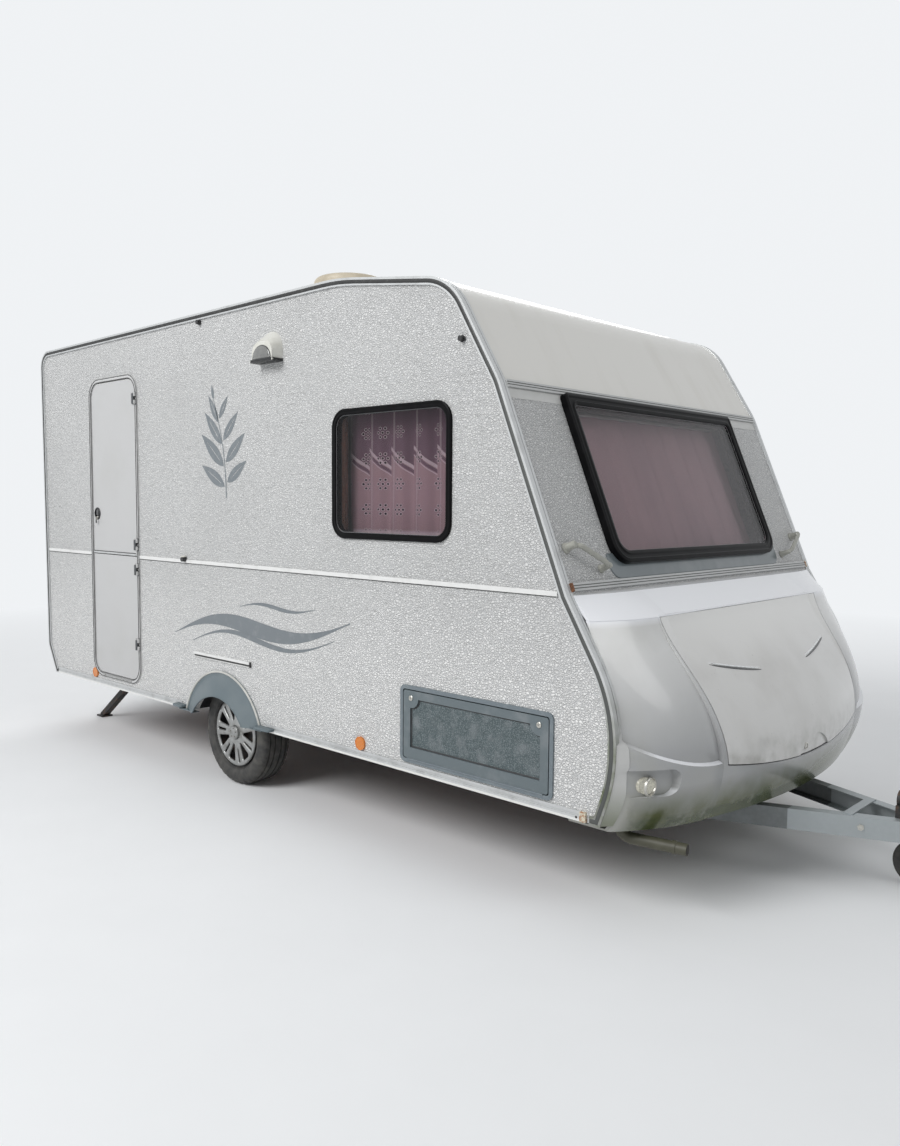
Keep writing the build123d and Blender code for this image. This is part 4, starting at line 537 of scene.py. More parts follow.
for word, foot in (("ledge", LEDGE_TRIM_Z), ("head", HEAD_TRIM_Z)):
    for count, rise in enumerate(TRIM_GROOVES):
        end, low, high = trim_half - 0.004, rise - TRIM_GROOVE / 2, rise + TRIM_GROOVE / 2
        groove = [(-end, low), (end, low), (end, high), (-end, high)]
        raised(f"{word}_trim_rubber_{count}", [on_slope(foot, groove, TRIM_OUT - 0.0025)],
               ((0, 0), (0, 0.0028), (0.0008, 0.0034)), FRONT_OUT, insert_finish)
plate_finish = finish_of("smoked_plate", PLATE_SMOKE, 0.28, coat=0.4)
spotted(plate_finish, (0.20, 0.22, 0.23), 7, 0.45, 0.85, detail=6)
plate = rounded((-PLATE_HALF, PLATE_FOOT), (PLATE_HALF, PLATE_HEAD), PLATE_R, 0.004)
raised("under_window_plate", [on_slope(LEDGE_TRIM_Z, plate)], ((0, 0), (0, 0.004), (0.0015, 0.0055)),
       FRONT_OUT, plate_finish)
cream_finish = finish_of("smooth_strip", STRIP_CREAM, 0.4)
spotted(cream_finish, (0.50, 0.50, 0.48), 8, 0.45, 0.8, detail=6)
strip = rounded((-trim_half, -HEAD_STRIP), (trim_half, -0.001), 0.001, 0.001, 1)
raised("head_strip", [on_slope(HEAD_TRIM_Z, strip)], ((0, 0), (0, 0.0012), (0.001, 0.002)), FRONT_OUT,
       cream_finish)
rust_finish = finish_of("rusty_cap", CAP_BROWN, 0.7)
spotted(rust_finish, (0.10, 0.045, 0.02), 120, 0.4, 0.6, detail=4)
for (side, _, word), finish in zip(SIDES, (rust_finish, plug_finish)):
    middle = (trim_half - 0.004) * side
    end = rounded((middle - TRIM_CAP_HALF, -0.001), (middle + TRIM_CAP_HALF, 0.035), 0.003, 0.003, 2)
    raised(f"ledge_trim_cap_{word}", [on_slope(LEDGE_TRIM_Z, end)], ((0, 0), (0, 0.0135), (0.001, 0.0145)),
           FRONT_OUT, finish)

# Nose moulding and locker lid: white glass fibre laid up in a mould, glossy where it is clean.
# Algae stand green in a band over the nose's lower edge and in the scoops, and the lid is grimed.
# The nose is painted darker downwards as painted shade; its top ledge and its low faces that look
# up are painted near white as painted highlight, and the lid's top is painted lighter as painted light.
NOSE_WHITE, NOSE_DULL, NOSE_PAINTED_SHADE = (0.69, 0.69, 0.68), (0.56, 0.56, 0.54), (0.35, 0.355, 0.36)
LEDGE_PAINTED_HIGHLIGHT, LID_WHITE = (0.84, 0.85, 0.88), (0.63, 0.625, 0.61)
LID_DULL, LID_TOP_PAINTED_LIGHT = (0.53, 0.52, 0.50), (0.76, 0.755, 0.735)
ALGAE, ALGAE_DARK, GRIME = (0.080, 0.092, 0.034), (0.045, 0.06, 0.02), (0.36, 0.36, 0.33)
nose_finish = finish_of("nose_moulding", NOSE_WHITE, 0.26, coat=0.45)
spotted(nose_finish, NOSE_DULL, 3.5, 0.45, 0.85, detail=6)
# painted shade: the nose darkens from 1.08 m down to 0.66 m
graded(nose_finish, NOSE_PAINTED_SHADE, "Z", 1.08, 0.66)
# painted highlight: the top ledge is painted near white
graded(nose_finish, LEDGE_PAINTED_HIGHLIGHT, "Z", 1.135, 1.165)
run_down = cloudy(nose_finish, 9, stretch=(1, 1, 0.7), detail=7)
edge_dirt = times(nose_finish, between(nose_finish, along(nose_finish, "Z"), 0.80, 0.50),
                  between(nose_finish, run_down, 0.38, 0.72))
tinted(nose_finish, times(nose_finish, edge_dirt, 0.45), GRIME)
# painted highlight: low faces that look up are painted near white
facing = step(nose_finish, "ShaderNodeNewGeometry", {}).outputs["Normal"]
facing_up = step(nose_finish, "ShaderNodeSeparateXYZ", {"Vector": facing}).outputs["Z"]
upward_painted_highlight = times(nose_finish, between(nose_finish, facing_up, 0.35, 0.65),
               between(nose_finish, along(nose_finish, "Z"), 0.72, 0.66))
tinted(nose_finish, upward_painted_highlight, LEDGE_PAINTED_HIGHLIGHT)
low_band = between(nose_finish, along(nose_finish, "Z"), 0.540, 0.425)
tinted(nose_finish, times(nose_finish, low_band, between(nose_finish, run_down, -0.2, 0.55)), ALGAE)
foot_band = between(nose_finish, along(nose_finish, "Z"), 0.418, 0.398)
clumps = between(nose_finish, cloudy(nose_finish, 32, detail=6), 0.30, 0.58)
tinted(nose_finish, times(nose_finish, foot_band, clumps), ALGAE_DARK)
side_edge = between(nose_finish, maths(nose_finish, "ABSOLUTE", along(nose_finish, "Y")), 1.03, 1.105)
edge_low = between(nose_finish, along(nose_finish, "Z"), 0.90, 0.58)
streaked = between(nose_finish, run_down, 0.30, 0.55)
tinted(nose_finish, times(nose_finish, times(nose_finish, side_edge, edge_low), streaked), GRIME)
dressed(nose_finish, "nose")
lid_finish = finish_of("locker_lid_moulding", LID_WHITE, 0.24, coat=0.5)
spotted(lid_finish, LID_DULL, 4, 0.42, 0.80, detail=6)
spotted(lid_finish, GRIME, 90, 0.70, 0.80, detail=3)
lid_low = between(lid_finish, along(lid_finish, "Z"), 0.70, 0.50)
lid_spots = between(lid_finish, cloudy(lid_finish, 18, detail=6), 0.40, 0.75)
tinted(lid_finish, times(lid_finish, lid_low, lid_spots), GRIME)
# painted light: the lid's top is painted lighter
graded(lid_finish, LID_TOP_PAINTED_LIGHT, "Z", 0.92, 1.12)
dressed(lid_finish, "locker_lid")

# Stable door: two aluminium-skinned leaves in a pressed frame. A black rubber seal runs round
# the frame, grey plastic covers hide the hinges, and a ribbed sill takes the wear at its foot.
DOOR_WHITE, DOOR_SOFT, DOOR_GREY = (0.50, 0.50, 0.50), (0.46, 0.46, 0.45), (0.37, 0.37, 0.365)
SEAL_PROFILE = ((0, 0), (0, 0.0022), (0.0012, 0.0032), (0.0026, 0.0032), (0.0036, 0.0022), (0.0036, 0))
HINGE_COVER_GREY, HINGE_X, HINGE_Y = (0.085, 0.09, 0.095), -1.6695, -1.172
HINGE_BARREL, HINGE_COVER_R, HINGE_ZS = 0.070, 0.0085, {"upper": (2.256, 1.343), "lower": (1.186, 0.708)}
HINGE_PLATE_LEVELS = ((0, 0), (0, 0.005), (0.002, 0.0075), (0.006, 0.0085))
LEAF_X, LEAF_OUT, SPLIT_Z, SPLIT_HIGH = (-2.246, -1.690), 0.0042, 1.2702, 0.012
SILL_X, SILL_ZS, SILL_RIB = (-2.155, -1.765), (0.4465, 0.4545, 0.4625), 0.005
FRAME_FACE_OUT, HINGE_PLATE_OUT = 0.008, 0.0083
HANDLE, KEY_AT, HANDLE_FACE, DISH_FLOOR = (-2.191, 1.532), (-2.181, 1.508), 1.157, 1.144
LEVER_LOW, LEVER_HIGH, LEVER_GREY = (-0.010, -0.010), (0.012, 0.029), (0.10, 0.10, 0.102)
KEY_LOW, KEY_HIGH, KEY_OUT = (-0.0011, -0.016), (0.0011, 0.006), 0.0185
TAG_LOW, TAG_HIGH, TAG_OUT = (-0.008, -0.040), (0.008, -0.014), 0.026
BARREL_ROWS = ((0, 0), (0, 0.0078), (0.018, 0.0078), (0.019, 0.0066), (0.019, 0))
door_finish = finish_of("door_skin", DOOR_WHITE, 0.34)
spotted(door_finish, DOOR_SOFT, 2.5, 0.5, 0.9)
spotted(door_finish, DOOR_SOFT, 70, 0.72, 0.84, detail=3)
dressed(door_finish, "door_upper", "door_lower")
door_frame_finish = finish_of("door_frame_rail", (0.60, 0.60, 0.595), 0.36, metallic=0.25)
spotted(door_frame_finish, DOOR_GREY, 9, 0.5, 0.9, detail=4)
dressed(door_frame_finish, "door_frame")


def bead(name, loops, profile, normal, finish, body="caravan"):
    """Closed strip along closed outlines from an (inset, height) profile."""
    shape = bmesh.new()
    for loop in loops:
        rings = stepped(shape, loop, profile, normal)
        joined_rings(shape, [*rings, rings[0]])
    return made(name, shape, finish, body)


black_finish = finish_of("black_plastic", (0.018, 0.018, 0.019), 0.42)
relief(black_finish, cloudy(black_finish, 500), 0.0002)
spotted(black_finish, (0.045, 0.045, 0.047), 20, 0.4, 0.8)
dressed(black_finish, "wheel_wells", "door_handle", "handbrake_lever", "wall_knobs")
door_loops = flat_loops("door_frame", OUT_RIGHT * (HALF + FRAME_FACE_OUT), OUT_RIGHT)
bead("door_seals", door_loops, SEAL_PROFILE, OUT_RIGHT, black_finish)
hinge_finish = finish_of("hinge_cover", HINGE_COVER_GREY, 0.4)
spotted(hinge_finish, (0.14, 0.145, 0.15), 40, 0.5, 0.8, detail=4)
half = HINGE_BARREL / 2
hinge_rows = ((-half, 0), (-half, 0.0072), (-half, HINGE_COVER_R), (half - 0.012, HINGE_COVER_R),
              (half - 0.004, 0.0072), (half, 0.005), (half + 0.0015, 0))
for word, places in HINGE_ZS.items():
    for count, z in enumerate(places):
        strap = rounded((HINGE_X - 0.030, z - half + 0.001), (HINGE_X - 0.0095, z + half - 0.001),
                        0.006, 0.006, 4)
        raised(f"hinge_plate_{word}_{count}", [on_wall(strap, HINGE_PLATE_OUT)], HINGE_PLATE_LEVELS,
               OUT_RIGHT, hinge_finish, f"door_{word}")
        turned(f"hinge_barrel_{word}_{count}", hinge_rows, (HINGE_X, HINGE_Y, z), UPWARD, hinge_finish,
               f"door_{word}", 16)
split_top = SPLIT_Z + SPLIT_HIGH
split = rounded((LEAF_X[0], SPLIT_Z), (LEAF_X[1], split_top), 0.002, 0.003, 2)
raised("split_strip", [on_wall(split, LEAF_OUT)], ((0, 0), (0, 0.003), (0.002, 0.005)), OUT_RIGHT,
       rail_finish, "door_upper")
split_line = rounded((LEAF_X[0], split_top + 0.0005), (LEAF_X[1], split_top + 0.005), 0.001, 0.001, 1)
raised("split_line", [on_wall(split_line, LEAF_OUT)], THIN_LEVELS, OUT_RIGHT, black_finish, "door_upper")
sill_finish = finish_of("sill_aluminium", (0.42, 0.42, 0.415), 0.4, metallic=0.5)
spotted(sill_finish, (0.20, 0.19, 0.17), 60, 0.5, 0.7)
for count, foot in enumerate(SILL_ZS):
    sill = rounded((SILL_X[0], foot), (SILL_X[1], foot + SILL_RIB), 0.002, 0.002, 2)
    raised(f"sill_rib_{count}", [on_wall(sill, FRAME_FACE_OUT)], ((0, 0), (0.001, 0.003)), OUT_RIGHT,
           sill_finish)
lever_finish = finish_of("lever_plastic", LEVER_GREY, 0.35)
spotted(lever_finish, (0.16, 0.16, 0.16), 60, 0.5, 0.8, detail=4)


def on_door(place, low, high, foot_r, head_r, steps, out=0.0):
    """Outline of a round-cornered plate about a place on the handle's dish."""
    return [Vector((place[0] + x, -DISH_FLOOR - out, place[1] + z)) for x, z in
            rounded(low, high, foot_r, head_r, steps)]


raised("handle_rim", flat_loops("door_handle", OUT_RIGHT * HANDLE_FACE, OUT_RIGHT),
       ((0.0003, 0), (0.0010, 0.0013), (0.0027, 0.0022)), OUT_RIGHT, black_finish, "door_upper")
raised("handle_lever", [on_door(HANDLE, LEVER_LOW, LEVER_HIGH, 0.006, 0.010, 4)],
       ((0, 0), (0, 0.012), (0.002, 0.015), (0.006, 0.017)), OUT_RIGHT, lever_finish, "door_upper")
steel_finish = finish_of("nickel", (0.55, 0.54, 0.50), 0.3, metallic=0.9)
spotted(steel_finish, (0.40, 0.38, 0.34), 90, 0.5, 0.8, detail=2)
turned("handle_lock", BARREL_ROWS, (KEY_AT[0], -DISH_FLOOR, KEY_AT[1]), OUT_RIGHT, steel_finish,
       "door_upper", 24)
raised("door_key", [on_door(KEY_AT, KEY_LOW, KEY_HIGH, 0.001, 0.001, 1, KEY_OUT)],
       ((0, 0), (0, 0.013)), OUT_RIGHT, steel_finish, "door_upper")
tag_finish = finish_of("plain_tag", (0.035, 0.035, 0.036), 0.5)
spotted(tag_finish, (0.07, 0.07, 0.072), 200, 0.5, 0.8, detail=2)
raised("key_tag", [on_door(KEY_AT, TAG_LOW, TAG_HIGH, 0.003, 0.003, 2, TAG_OUT)],
       ((0, 0), (0, 0.0016)), OUT_RIGHT, tag_finish, "door_upper")

# Side hatch: an aluminium frame and a smoked plastic leaf whose sunk panel is stippled, with a
# black bead round its pocket as painted shadow and a bright lock in each upper corner.
HATCH_RIM, HATCH_PANEL, STIPPLE_PALE = (0.120, 0.148, 0.160), (0.055, 0.078, 0.083), (0.16, 0.195, 0.205)
POCKET_OUT, POCKET_SHADOW_PROFILE = 1.149, ((0, 0), (0, 0.0016), (0.0020, 0.0030), (0.0065, 0.0010), (0.0065, 0))
LOCK_PLACES, LOCK_FACE, PANEL_FACE = ((0.801, 0.729), (1.539, 0.729)), -1.1595, -1.1505
LOCK_ROWS = ((-0.001, 0), (-0.001, 0.0125), (0.001, 0.0125), (0.0025, 0.0105), (0.0025, 0.0065),
             (0.0008, 0.0060), (0.0008, 0))
hatch_finish = finish_of("smoked_leaf", HATCH_RIM, 0.36)
sunk = between(hatch_finish, along(hatch_finish, "Y"), PANEL_FACE - 0.001, PANEL_FACE + 0.001)
stipple = cloudy(hatch_finish, 230, detail=1)
tinted(hatch_finish, sunk, HATCH_PANEL)
tinted(hatch_finish, times(hatch_finish, sunk, between(hatch_finish, stipple, 0.50, 0.64)), STIPPLE_PALE)
spotted(hatch_finish, (0.20, 0.22, 0.23), 14, 0.50, 0.85, detail=6)
relief(hatch_finish, times(hatch_finish, sunk, stipple), 0.003)
dressed(hatch_finish, "hatch_door")
hatch_frame_finish = finish_of("hatch_rail", (0.150, 0.180, 0.200), 0.36)
spotted(hatch_frame_finish, (0.20, 0.23, 0.245), 20, 0.5, 0.8)
dressed(hatch_frame_finish, "hatch_frame")
pocket_loops = flat_loops("hatch_door", OUT_RIGHT * POCKET_OUT, OUT_RIGHT)
# painted shadow: a black bead round the pocket's edge
bead("hatch_pocket_shadow", pocket_loops, POCKET_SHADOW_PROFILE, OUT_RIGHT, black_finish, "hatch")
for count, (x, z) in enumerate(LOCK_PLACES):
    turned(f"hatch_lock_{count}", LOCK_ROWS, (x, LOCK_FACE, z), OUT_RIGHT, steel_finish, "hatch", 28)
    slit = [Vector((x + dx, LOCK_FACE - 0.0008, z + dz)) for dx, dz in
            rounded((-0.0009, -0.0042), (0.0009, 0.0042), 0.0008, 0.0008, 2)]
    raised(f"hatch_keyhole_{count}", [slit], ((0, 0), (0, 0.0003)), OUT_RIGHT, hole_finish, "hatch")

# Windows: smoked acrylic panes held in black rubber profiles that are crowned across, with a
# pale line round each pane's edge as a painted highlight.
PANE_SMOKE, FRONT_PANE_Z = (0.57, 0.54, 0.56), 1.7275
CROWN = ((0.0002, 0), (0.0010, 0.0010), (0.0050, 0.0022), (0.0100, 0.0026), (0.0130, 0.0012))
FRONT_CROWN = ((0.0002, 0), (0.0015, 0.002), (0.008, 0.0045), (0.016, 0.0050), (0.020, 0.0015),
               (0.024, 0.0010))
PANE_HIGHLIGHT_PROFILE = ((0.0004, 0), (0.0004, 0.0010), (0.0022, 0.0010), (0.0022, 0))
WINDOWS = (
    # name, way out, place on the frame's face, place on the pane's face, crown
    ("right", OUT_RIGHT, OUT_RIGHT * (HALF + 0.010), OUT_RIGHT * (HALF + 0.004), CROWN),
    ("left", OUT_LEFT, OUT_LEFT * (HALF + 0.010), OUT_LEFT * (HALF + 0.004), CROWN),
    ("front", FRONT_OUT, slope_point(FRONT_PANE_Z, 0, 0.030), slope_point(FRONT_PANE_Z, 0, 0.024),
     FRONT_CROWN),
)
frame_finish = finish_of("window_rubber", (0.0045, 0.0045, 0.005), 0.28)
shader_of(frame_finish).inputs["Specular IOR Level"].default_value = 0.07
spotted(frame_finish, (0.012, 0.012, 0.013), 12, 0.5, 0.9)
dressed(frame_finish, "window_frames")
pane_finish = finish_of("smoked_pane", PANE_SMOKE, 0.04)
shader_of(pane_finish).inputs["Transmission Weight"].default_value = 1.0
shader_of(pane_finish).inputs["IOR"].default_value = 1.25
pane_haze = between(pane_finish, cloudy(pane_finish, 8, detail=4), 0, 1, 0.02, 0.08)
pane_finish.node_tree.links.new(pane_haze, shader_of(pane_finish).inputs["Roughness"])
dressed(pane_finish, "window_panes")
# painted highlight: a pale line round each pane's edge
pane_highlight_finish = finish_of("pane_highlight", (0.34, 0.34, 0.35), 0.3)
spotted(pane_highlight_finish, (0.24, 0.24, 0.25), 20, detail=2)
for word, normal, frame_face, pane_face, crown in WINDOWS:
    raised(f"window_crown_{word}", flat_loops("window_frames", frame_face, normal), crown, normal,
           frame_finish)
    bead(f"pane_highlight_{word}", flat_loops("window_panes", pane_face, normal), PANE_HIGHLIGHT_PROFILE, normal, pane_highlight_finish)

# Curtains: printed voile gathered on a rail at the side, plain voile drawn over the front. Each
# is one sheet hung in folds; its print has two-tone stepped bands that fall towards the door
# hinge side of each fold, small flowers of eyelets, and a pale hem.
CURTAIN_MAUVE, CURTAIN_DEEP, CURTAIN_PALE = (0.60, 0.415, 0.445), (0.25, 0.155, 0.20), (0.92, 0.78, 0.80)
FRONT_MAUVE, FRONT_SHADE, EYELET_DARK = (0.62, 0.45, 0.46), (0.50, 0.37, 0.39), (0.03, 0.015, 0.02)
FOLD_PITCH, BAND_Z, BAND_FALL = 0.1522, 1.830, 0.62
BANDS = ((0, 0.0095, CURTAIN_PALE), (0.021, 0.0095, CURTAIN_DEEP), (0.036, 0.0035, CURTAIN_PALE))
FLOWER_PITCH, FLOWER_REACH, EYELET_R = 0.1220, 0.0235, 0.0060
PLEAT_X, HEM_Z = 0.045, 1.492
ROWS_UP, COLUMNS_PER_FOLD = 14, 14
SIDE_CURTAINS = (
    # name, side, rear x, front x, foot z, head z
    ("curtain_right", -1, 0.262, 1.023, 1.456, 2.0715),
    ("curtain_left_front", 1, 0.262, 1.023, 1.456, 2.0715),
    ("curtain_left_rear", 1, -1.132, -0.438, 1.532, 1.9955),
)
SIDE_CURTAIN_Y, FRONT_CURTAIN_IN, REAR_CURTAIN_X = 1.040, 0.110, -2.8737
FRONT_HALF, FRONT_FOOT_RISE, FRONT_HEAD_RISE = 0.780, -0.372, 0.366
REAR_HALF, REAR_FOOT_Z, REAR_HEAD_Z = 0.668, 1.452, 2.0055
BATTEN_Y, BATTEN_FOOT, BATTEN_HEAD = 1.1175, (0.277, 1.400), (0.303, 2.115)


def hung(name, corners, out, folds, depth, finish):
    """Curtain between its foot and head corners, folded to a depth."""
    foot_0, foot_1, head_0, head_1 = corners
    count = folds * COLUMNS_PER_FOLD
    shape = bmesh.new()
    rows = []
    for row in range(ROWS_UP + 1):
        rise = row / ROWS_UP
        line = []
        for k in range(count + 1):
            share = k / count
            place = foot_0.lerp(foot_1, share).lerp(head_0.lerp(head_1, share), rise)
            turn = 2 * math.pi * (folds * share + 0.05 * math.sin(5.3 * share + 2.1 * rise))
            wave = math.sin(turn) + 0.22 * math.sin(2 * turn + 1.3 + rise)
            line.append(shape.verts.new(place + out * depth * wave * (0.72 + 0.28 * (1 - rise))))
        rows.append(line)
    joined_rings(shape, rows, closed=False)
    piece = made(name, shape, finish, crease=80)
    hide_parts("curtains")


def repeats(finish, value, pitch):
    """Place within a repeat, from -half to +half of the pitch."""
    return maths(finish, "WRAP", value, pitch / 2, -pitch / 2)


def printed(name, colour):
    """Voile with stepped diagonal bands and flowers of seven eyelets."""
    finish = finish_of(name, colour, 0.85)
    plain_x, plain_z = along(finish, "X"), along(finish, "Z")
    in_fold = repeats(finish, plain_x, FOLD_PITCH)
    fall = maths(finish, "MULTIPLY_ADD", in_fold, BAND_FALL, plain_z)
    tinted(finish, between(finish, fall, BAND_Z, BAND_Z + 0.003), CURTAIN_DEEP)
    for drop, half, band in BANDS:
        line = maths(finish, "ABSOLUTE", maths(finish, "SUBTRACT", fall, BAND_Z - drop))
        tinted(finish, between(finish, line, half, half - 0.002), band)
    here = step(finish, "ShaderNodeCombineXYZ", {"X": repeats(finish, plain_x, FLOWER_PITCH),
                                                 "Y": repeats(finish, plain_z, FLOWER_PITCH)}).outputs[0]
    nearest = step(finish, "ShaderNodeVectorMath", {0: here}, operation="LENGTH").outputs["Value"]
    for turn in range(0, 360, 60):
        eyelet = (FLOWER_REACH * math.cos(math.radians(turn)), FLOWER_REACH * math.sin(math.radians(turn)), 0)
        away = step(finish, "ShaderNodeVectorMath", {0: here, 1: eyelet}, operation="DISTANCE")
        nearest = maths(finish, "MINIMUM", nearest, away.outputs["Value"])
    tinted(finish, between(finish, nearest, EYELET_R * 1.45, EYELET_R * 1.35), CURTAIN_PALE)
    tinted(finish, between(finish, nearest, EYELET_R * 0.95, EYELET_R * 0.85), EYELET_DARK)
    pleat = maths(finish, "ABSOLUTE", maths(finish, "ADD", in_fold, PLEAT_X))
    tinted(finish, between(finish, pleat, 0.012, 0.009, 0, 0.45), CURTAIN_PALE)
    tinted(finish, between(finish, plain_z, HEM_Z, HEM_Z - 0.012), CURTAIN_PALE)
    return finish


side_voile = printed("printed_voile", CURTAIN_MAUVE)
front_voile = finish_of("plain_voile", FRONT_MAUVE, 0.85)
spotted(front_voile, FRONT_SHADE, 2.2, 0.35, 0.7, stretch=(1, 1, 0.4), detail=3)
for voile in (side_voile, front_voile):
    relief(voile, cloudy(voile, 900, detail=1), 0.00008)
for name, side, rear_x, front_x, foot_z, head_z in SIDE_CURTAINS:
    corners = [Vector((x, SIDE_CURTAIN_Y * side, z)) for z in (foot_z, head_z) for x in (rear_x, front_x)]
    hung(name, corners, Vector((0, side, 0)), 5, 0.014, side_voile)
corners = [slope_point(FRONT_PANE_Z, y, -FRONT_CURTAIN_IN) + FRONT_UP * rise
           for rise in (FRONT_FOOT_RISE, FRONT_HEAD_RISE) for y in (-FRONT_HALF, FRONT_HALF)]
hung("curtain_front", corners, FRONT_OUT, 9, 0.008, front_voile)
corners = [Vector((REAR_CURTAIN_X, y, z))
           for z in (REAR_FOOT_Z, REAR_HEAD_Z) for y in (-REAR_HALF, REAR_HALF)]
hung("curtain_rear", corners, -AHEAD, 9, 0.012, front_voile)
wood_finish = finish_of("sealed_wood", (0.15, 0.065, 0.035), 0.5)
spotted(wood_finish, (0.11, 0.045, 0.025), 10, stretch=(6, 6, 0.3))
dressed(wood_finish, "floor")
bulkhead_finish = finish_of("painted_bulkhead", (0.55, 0.55, 0.54), 0.5)
spotted(bulkhead_finish, (0.40, 0.40, 0.39), 12, 0.5, 0.8)
dressed(bulkhead_finish, "bulkhead")
batten = [Vector((x, -BATTEN_Y, z)) for x, z in rounded(BATTEN_FOOT, BATTEN_HEAD, 0.003, 0.003, 2)][::-1]
raised("window_batten", [batten], ((0, 0), (0, 0.018), (0.002, 0.020)), OUT_LEFT, wood_finish)

# Wall artwork: own designs cut from grey vinyl and stuck flat on the sheets: a sprig of leaves
# behind the window, and three tapered sweeps below the belt rail on both sides.
VINYL_GREY, VINYL_WORN = (0.165, 0.185, 0.200), (0.24, 0.255, 0.265)
VINYL_LEVELS, VINYL_OUT = ((0, 0), (0, 0.0006)), 0.0002
SPRIG_FOOT, SPRIG_HEAD = (-0.680, 1.640), (-0.800, 2.190)
LEAVES = (
    # share up the stem, turn from upright, length, width
    (0.10, 62, 0.260, 0.074), (0.14, -58, 0.220, 0.066), (0.30, 50, 0.290, 0.080), (0.34, -50, 0.240, 0.070),
    (0.52, 42, 0.250, 0.066), (0.56, -44, 0.210, 0.058), (0.74, 32, 0.180, 0.048), (0.78, -36, 0.150, 0.042),
)
STEM_BOW, STEM_STEPS, STEM_FAT, STEM_TAPER = 0.030, 12, 0.0050, 0.003
LEAF_STALK, VEIN_START, VEIN_LONG, VEIN_WIDE = 0.014, 0.03, 0.72, 0.005
TIP_TURN, TIP_LONG, TIP_WIDE = 12, 0.085, 0.026
SWEEPS = (
    # start, end, bow, width at the start, at the middle and at the end
    ((-1.240, 0.830), (0.370, 1.030), 0.105, 0.004, 0.085, 0.006),
    ((-1.050, 0.800), (0.250, 0.930), 0.090, 0.004, 0.026, 0.004),
    ((-0.560, 1.040), (0.100, 1.075), 0.030, 0.003, 0.018, 0.003),
)
SWEEP_STEPS = 32
vinyl_finish = finish_of("grey_vinyl", VINYL_GREY, 0.35)
spotted(vinyl_finish, VINYL_WORN, 30, 0.52, 0.85, detail=6)


def part_way(start, end, share):
    """Place a share of the way between two (x, z) places."""
    return start[0] + (end[0] - start[0]) * share, start[1] + (end[1] - start[1]) * share


def leant(place, turn, length, across=0.0):
    """Place a length away at a turn from upright, and across to its right."""
    sine, cosine = math.sin(math.radians(turn)), math.cos(math.radians(turn))
    return place[0] - length * sine + across * cosine, place[1] + length * cosine + across * sine


def lens_shape(foot, turn, length, width, full=0.42, steps=10):
    """Leaf from its foot along a turn from upright, widest at the share full."""
    rises = [k / steps for k in range(steps + 1)]
    spread = [width / 2 * math.sin(math.pi * (t ** (math.log(0.5) / math.log(full)))) for t in rises]
    sides = [(t * length, s) for t, s in zip(rises, spread)]
    ring = [(a, -s) for a, s in sides] + [(a, s) for a, s in sides[-2:0:-1]]
    return [leant(foot, turn, a, s) for a, s in ring]


def vinyl(name, outlines, side=-1):
    """Vinyl stuck to a wall; outlines after the first are cut out of it."""
    loops = []
    for points in outlines:
        area = sum(a[0] * b[1] - b[0] * a[1] for a, b in zip(points, points[1:] + points[:1]))
        loop = on_wall(points if area > 0 else points[::-1], VINYL_OUT, side)
        loops.append(loop[::-1] if loops else loop)
    raised(name, loops, VINYL_LEVELS, OUT_RIGHT * -side, vinyl_finish)


def stem_at(share):
    x, z = part_way(SPRIG_FOOT, SPRIG_HEAD, share)
    return x + STEM_BOW * math.sin(math.pi * share), z


for count, (share, turn, length, width) in enumerate(LEAVES):
    foot = leant(stem_at(share), turn, LEAF_STALK)
    vein = lens_shape(leant(foot, turn, VEIN_START), turn, length * VEIN_LONG, VEIN_WIDE)
    vinyl(f"sprig_leaf_{count}", [lens_shape(foot, turn, length, width), vein])
edges = [(stem_at(k / STEM_STEPS), STEM_FAT - STEM_TAPER * k / STEM_STEPS) for k in range(STEM_STEPS + 1)]
vinyl("sprig_stem", [[(x - fat, z) for (x, z), fat in edges] + [(x + fat, z) for (x, z), fat in edges[::-1]]])
vinyl("sprig_tip", [lens_shape(SPRIG_HEAD, TIP_TURN, TIP_LONG, TIP_WIDE)])
for side, _, word in SIDES:
    for count, (start, end, bow, w0, w1, w2) in enumerate(SWEEPS):
        upper, lower = [], []
        for share in (k / SWEEP_STEPS for k in range(SWEEP_STEPS + 1)):
            x, z = part_way(start, end, share)
            z += bow * math.sin(2 * math.pi * share) * 0.6
            fat = (w0 * (1 - share) + w2 * share + w1 * math.sin(math.pi * share) ** 1.6) / 2
            upper.append((x, z + fat))
            lower.append((x, z - fat))
        vinyl(f"sweep_{word}_{count}", [lower + upper[::-1]], side)

# Wheel spats: grey plastic arches screwed over the cut-outs. A grey bead runs round the opening,
# cream piping seals the outer edge to the wall, and each foot ends in a flat lip.
SPAT_GREY, SPAT_DUST = (0.120, 0.152, 0.168), (0.17, 0.20, 0.21)
SPAT_LIPS = ((-1.158, -1.215), (-0.345, -0.245))
SPAT_X, SPAT_BEAD_FOOT_Z, LIP_Z = -0.740, 0.386, 0.3925
LIP_UNDER, LIP_INNER, LIP_OUTER = 0.04, 1.1505, 1.1975
BEAD_STEPS, BEAD_CORNERS = 48, 8
moulding_finish = finish_of("grey_moulding", SPAT_GREY, 0.42)
spotted(moulding_finish, SPAT_DUST, 6, 0.4, 0.9, detail=6)
relief(moulding_finish, cloudy(moulding_finish, 400, detail=2), 0.0002)
dressed(moulding_finish, "wheel_spats")
piping_finish = finish_of("cream_piping", (0.60, 0.595, 0.56), 0.4)
spotted(piping_finish, (0.42, 0.42, 0.39), 14, 0.4, 0.8)
SPAT_BEADS = (
    # name, height of the arch's middle, its radius, how far out, thickness, finish
    ("spat_bead", 0.210, 0.304, 0.048, 0.0035, moulding_finish),
    ("spat_piping", 0.260, 0.390, 0.0075, 0.0060, piping_finish),
)
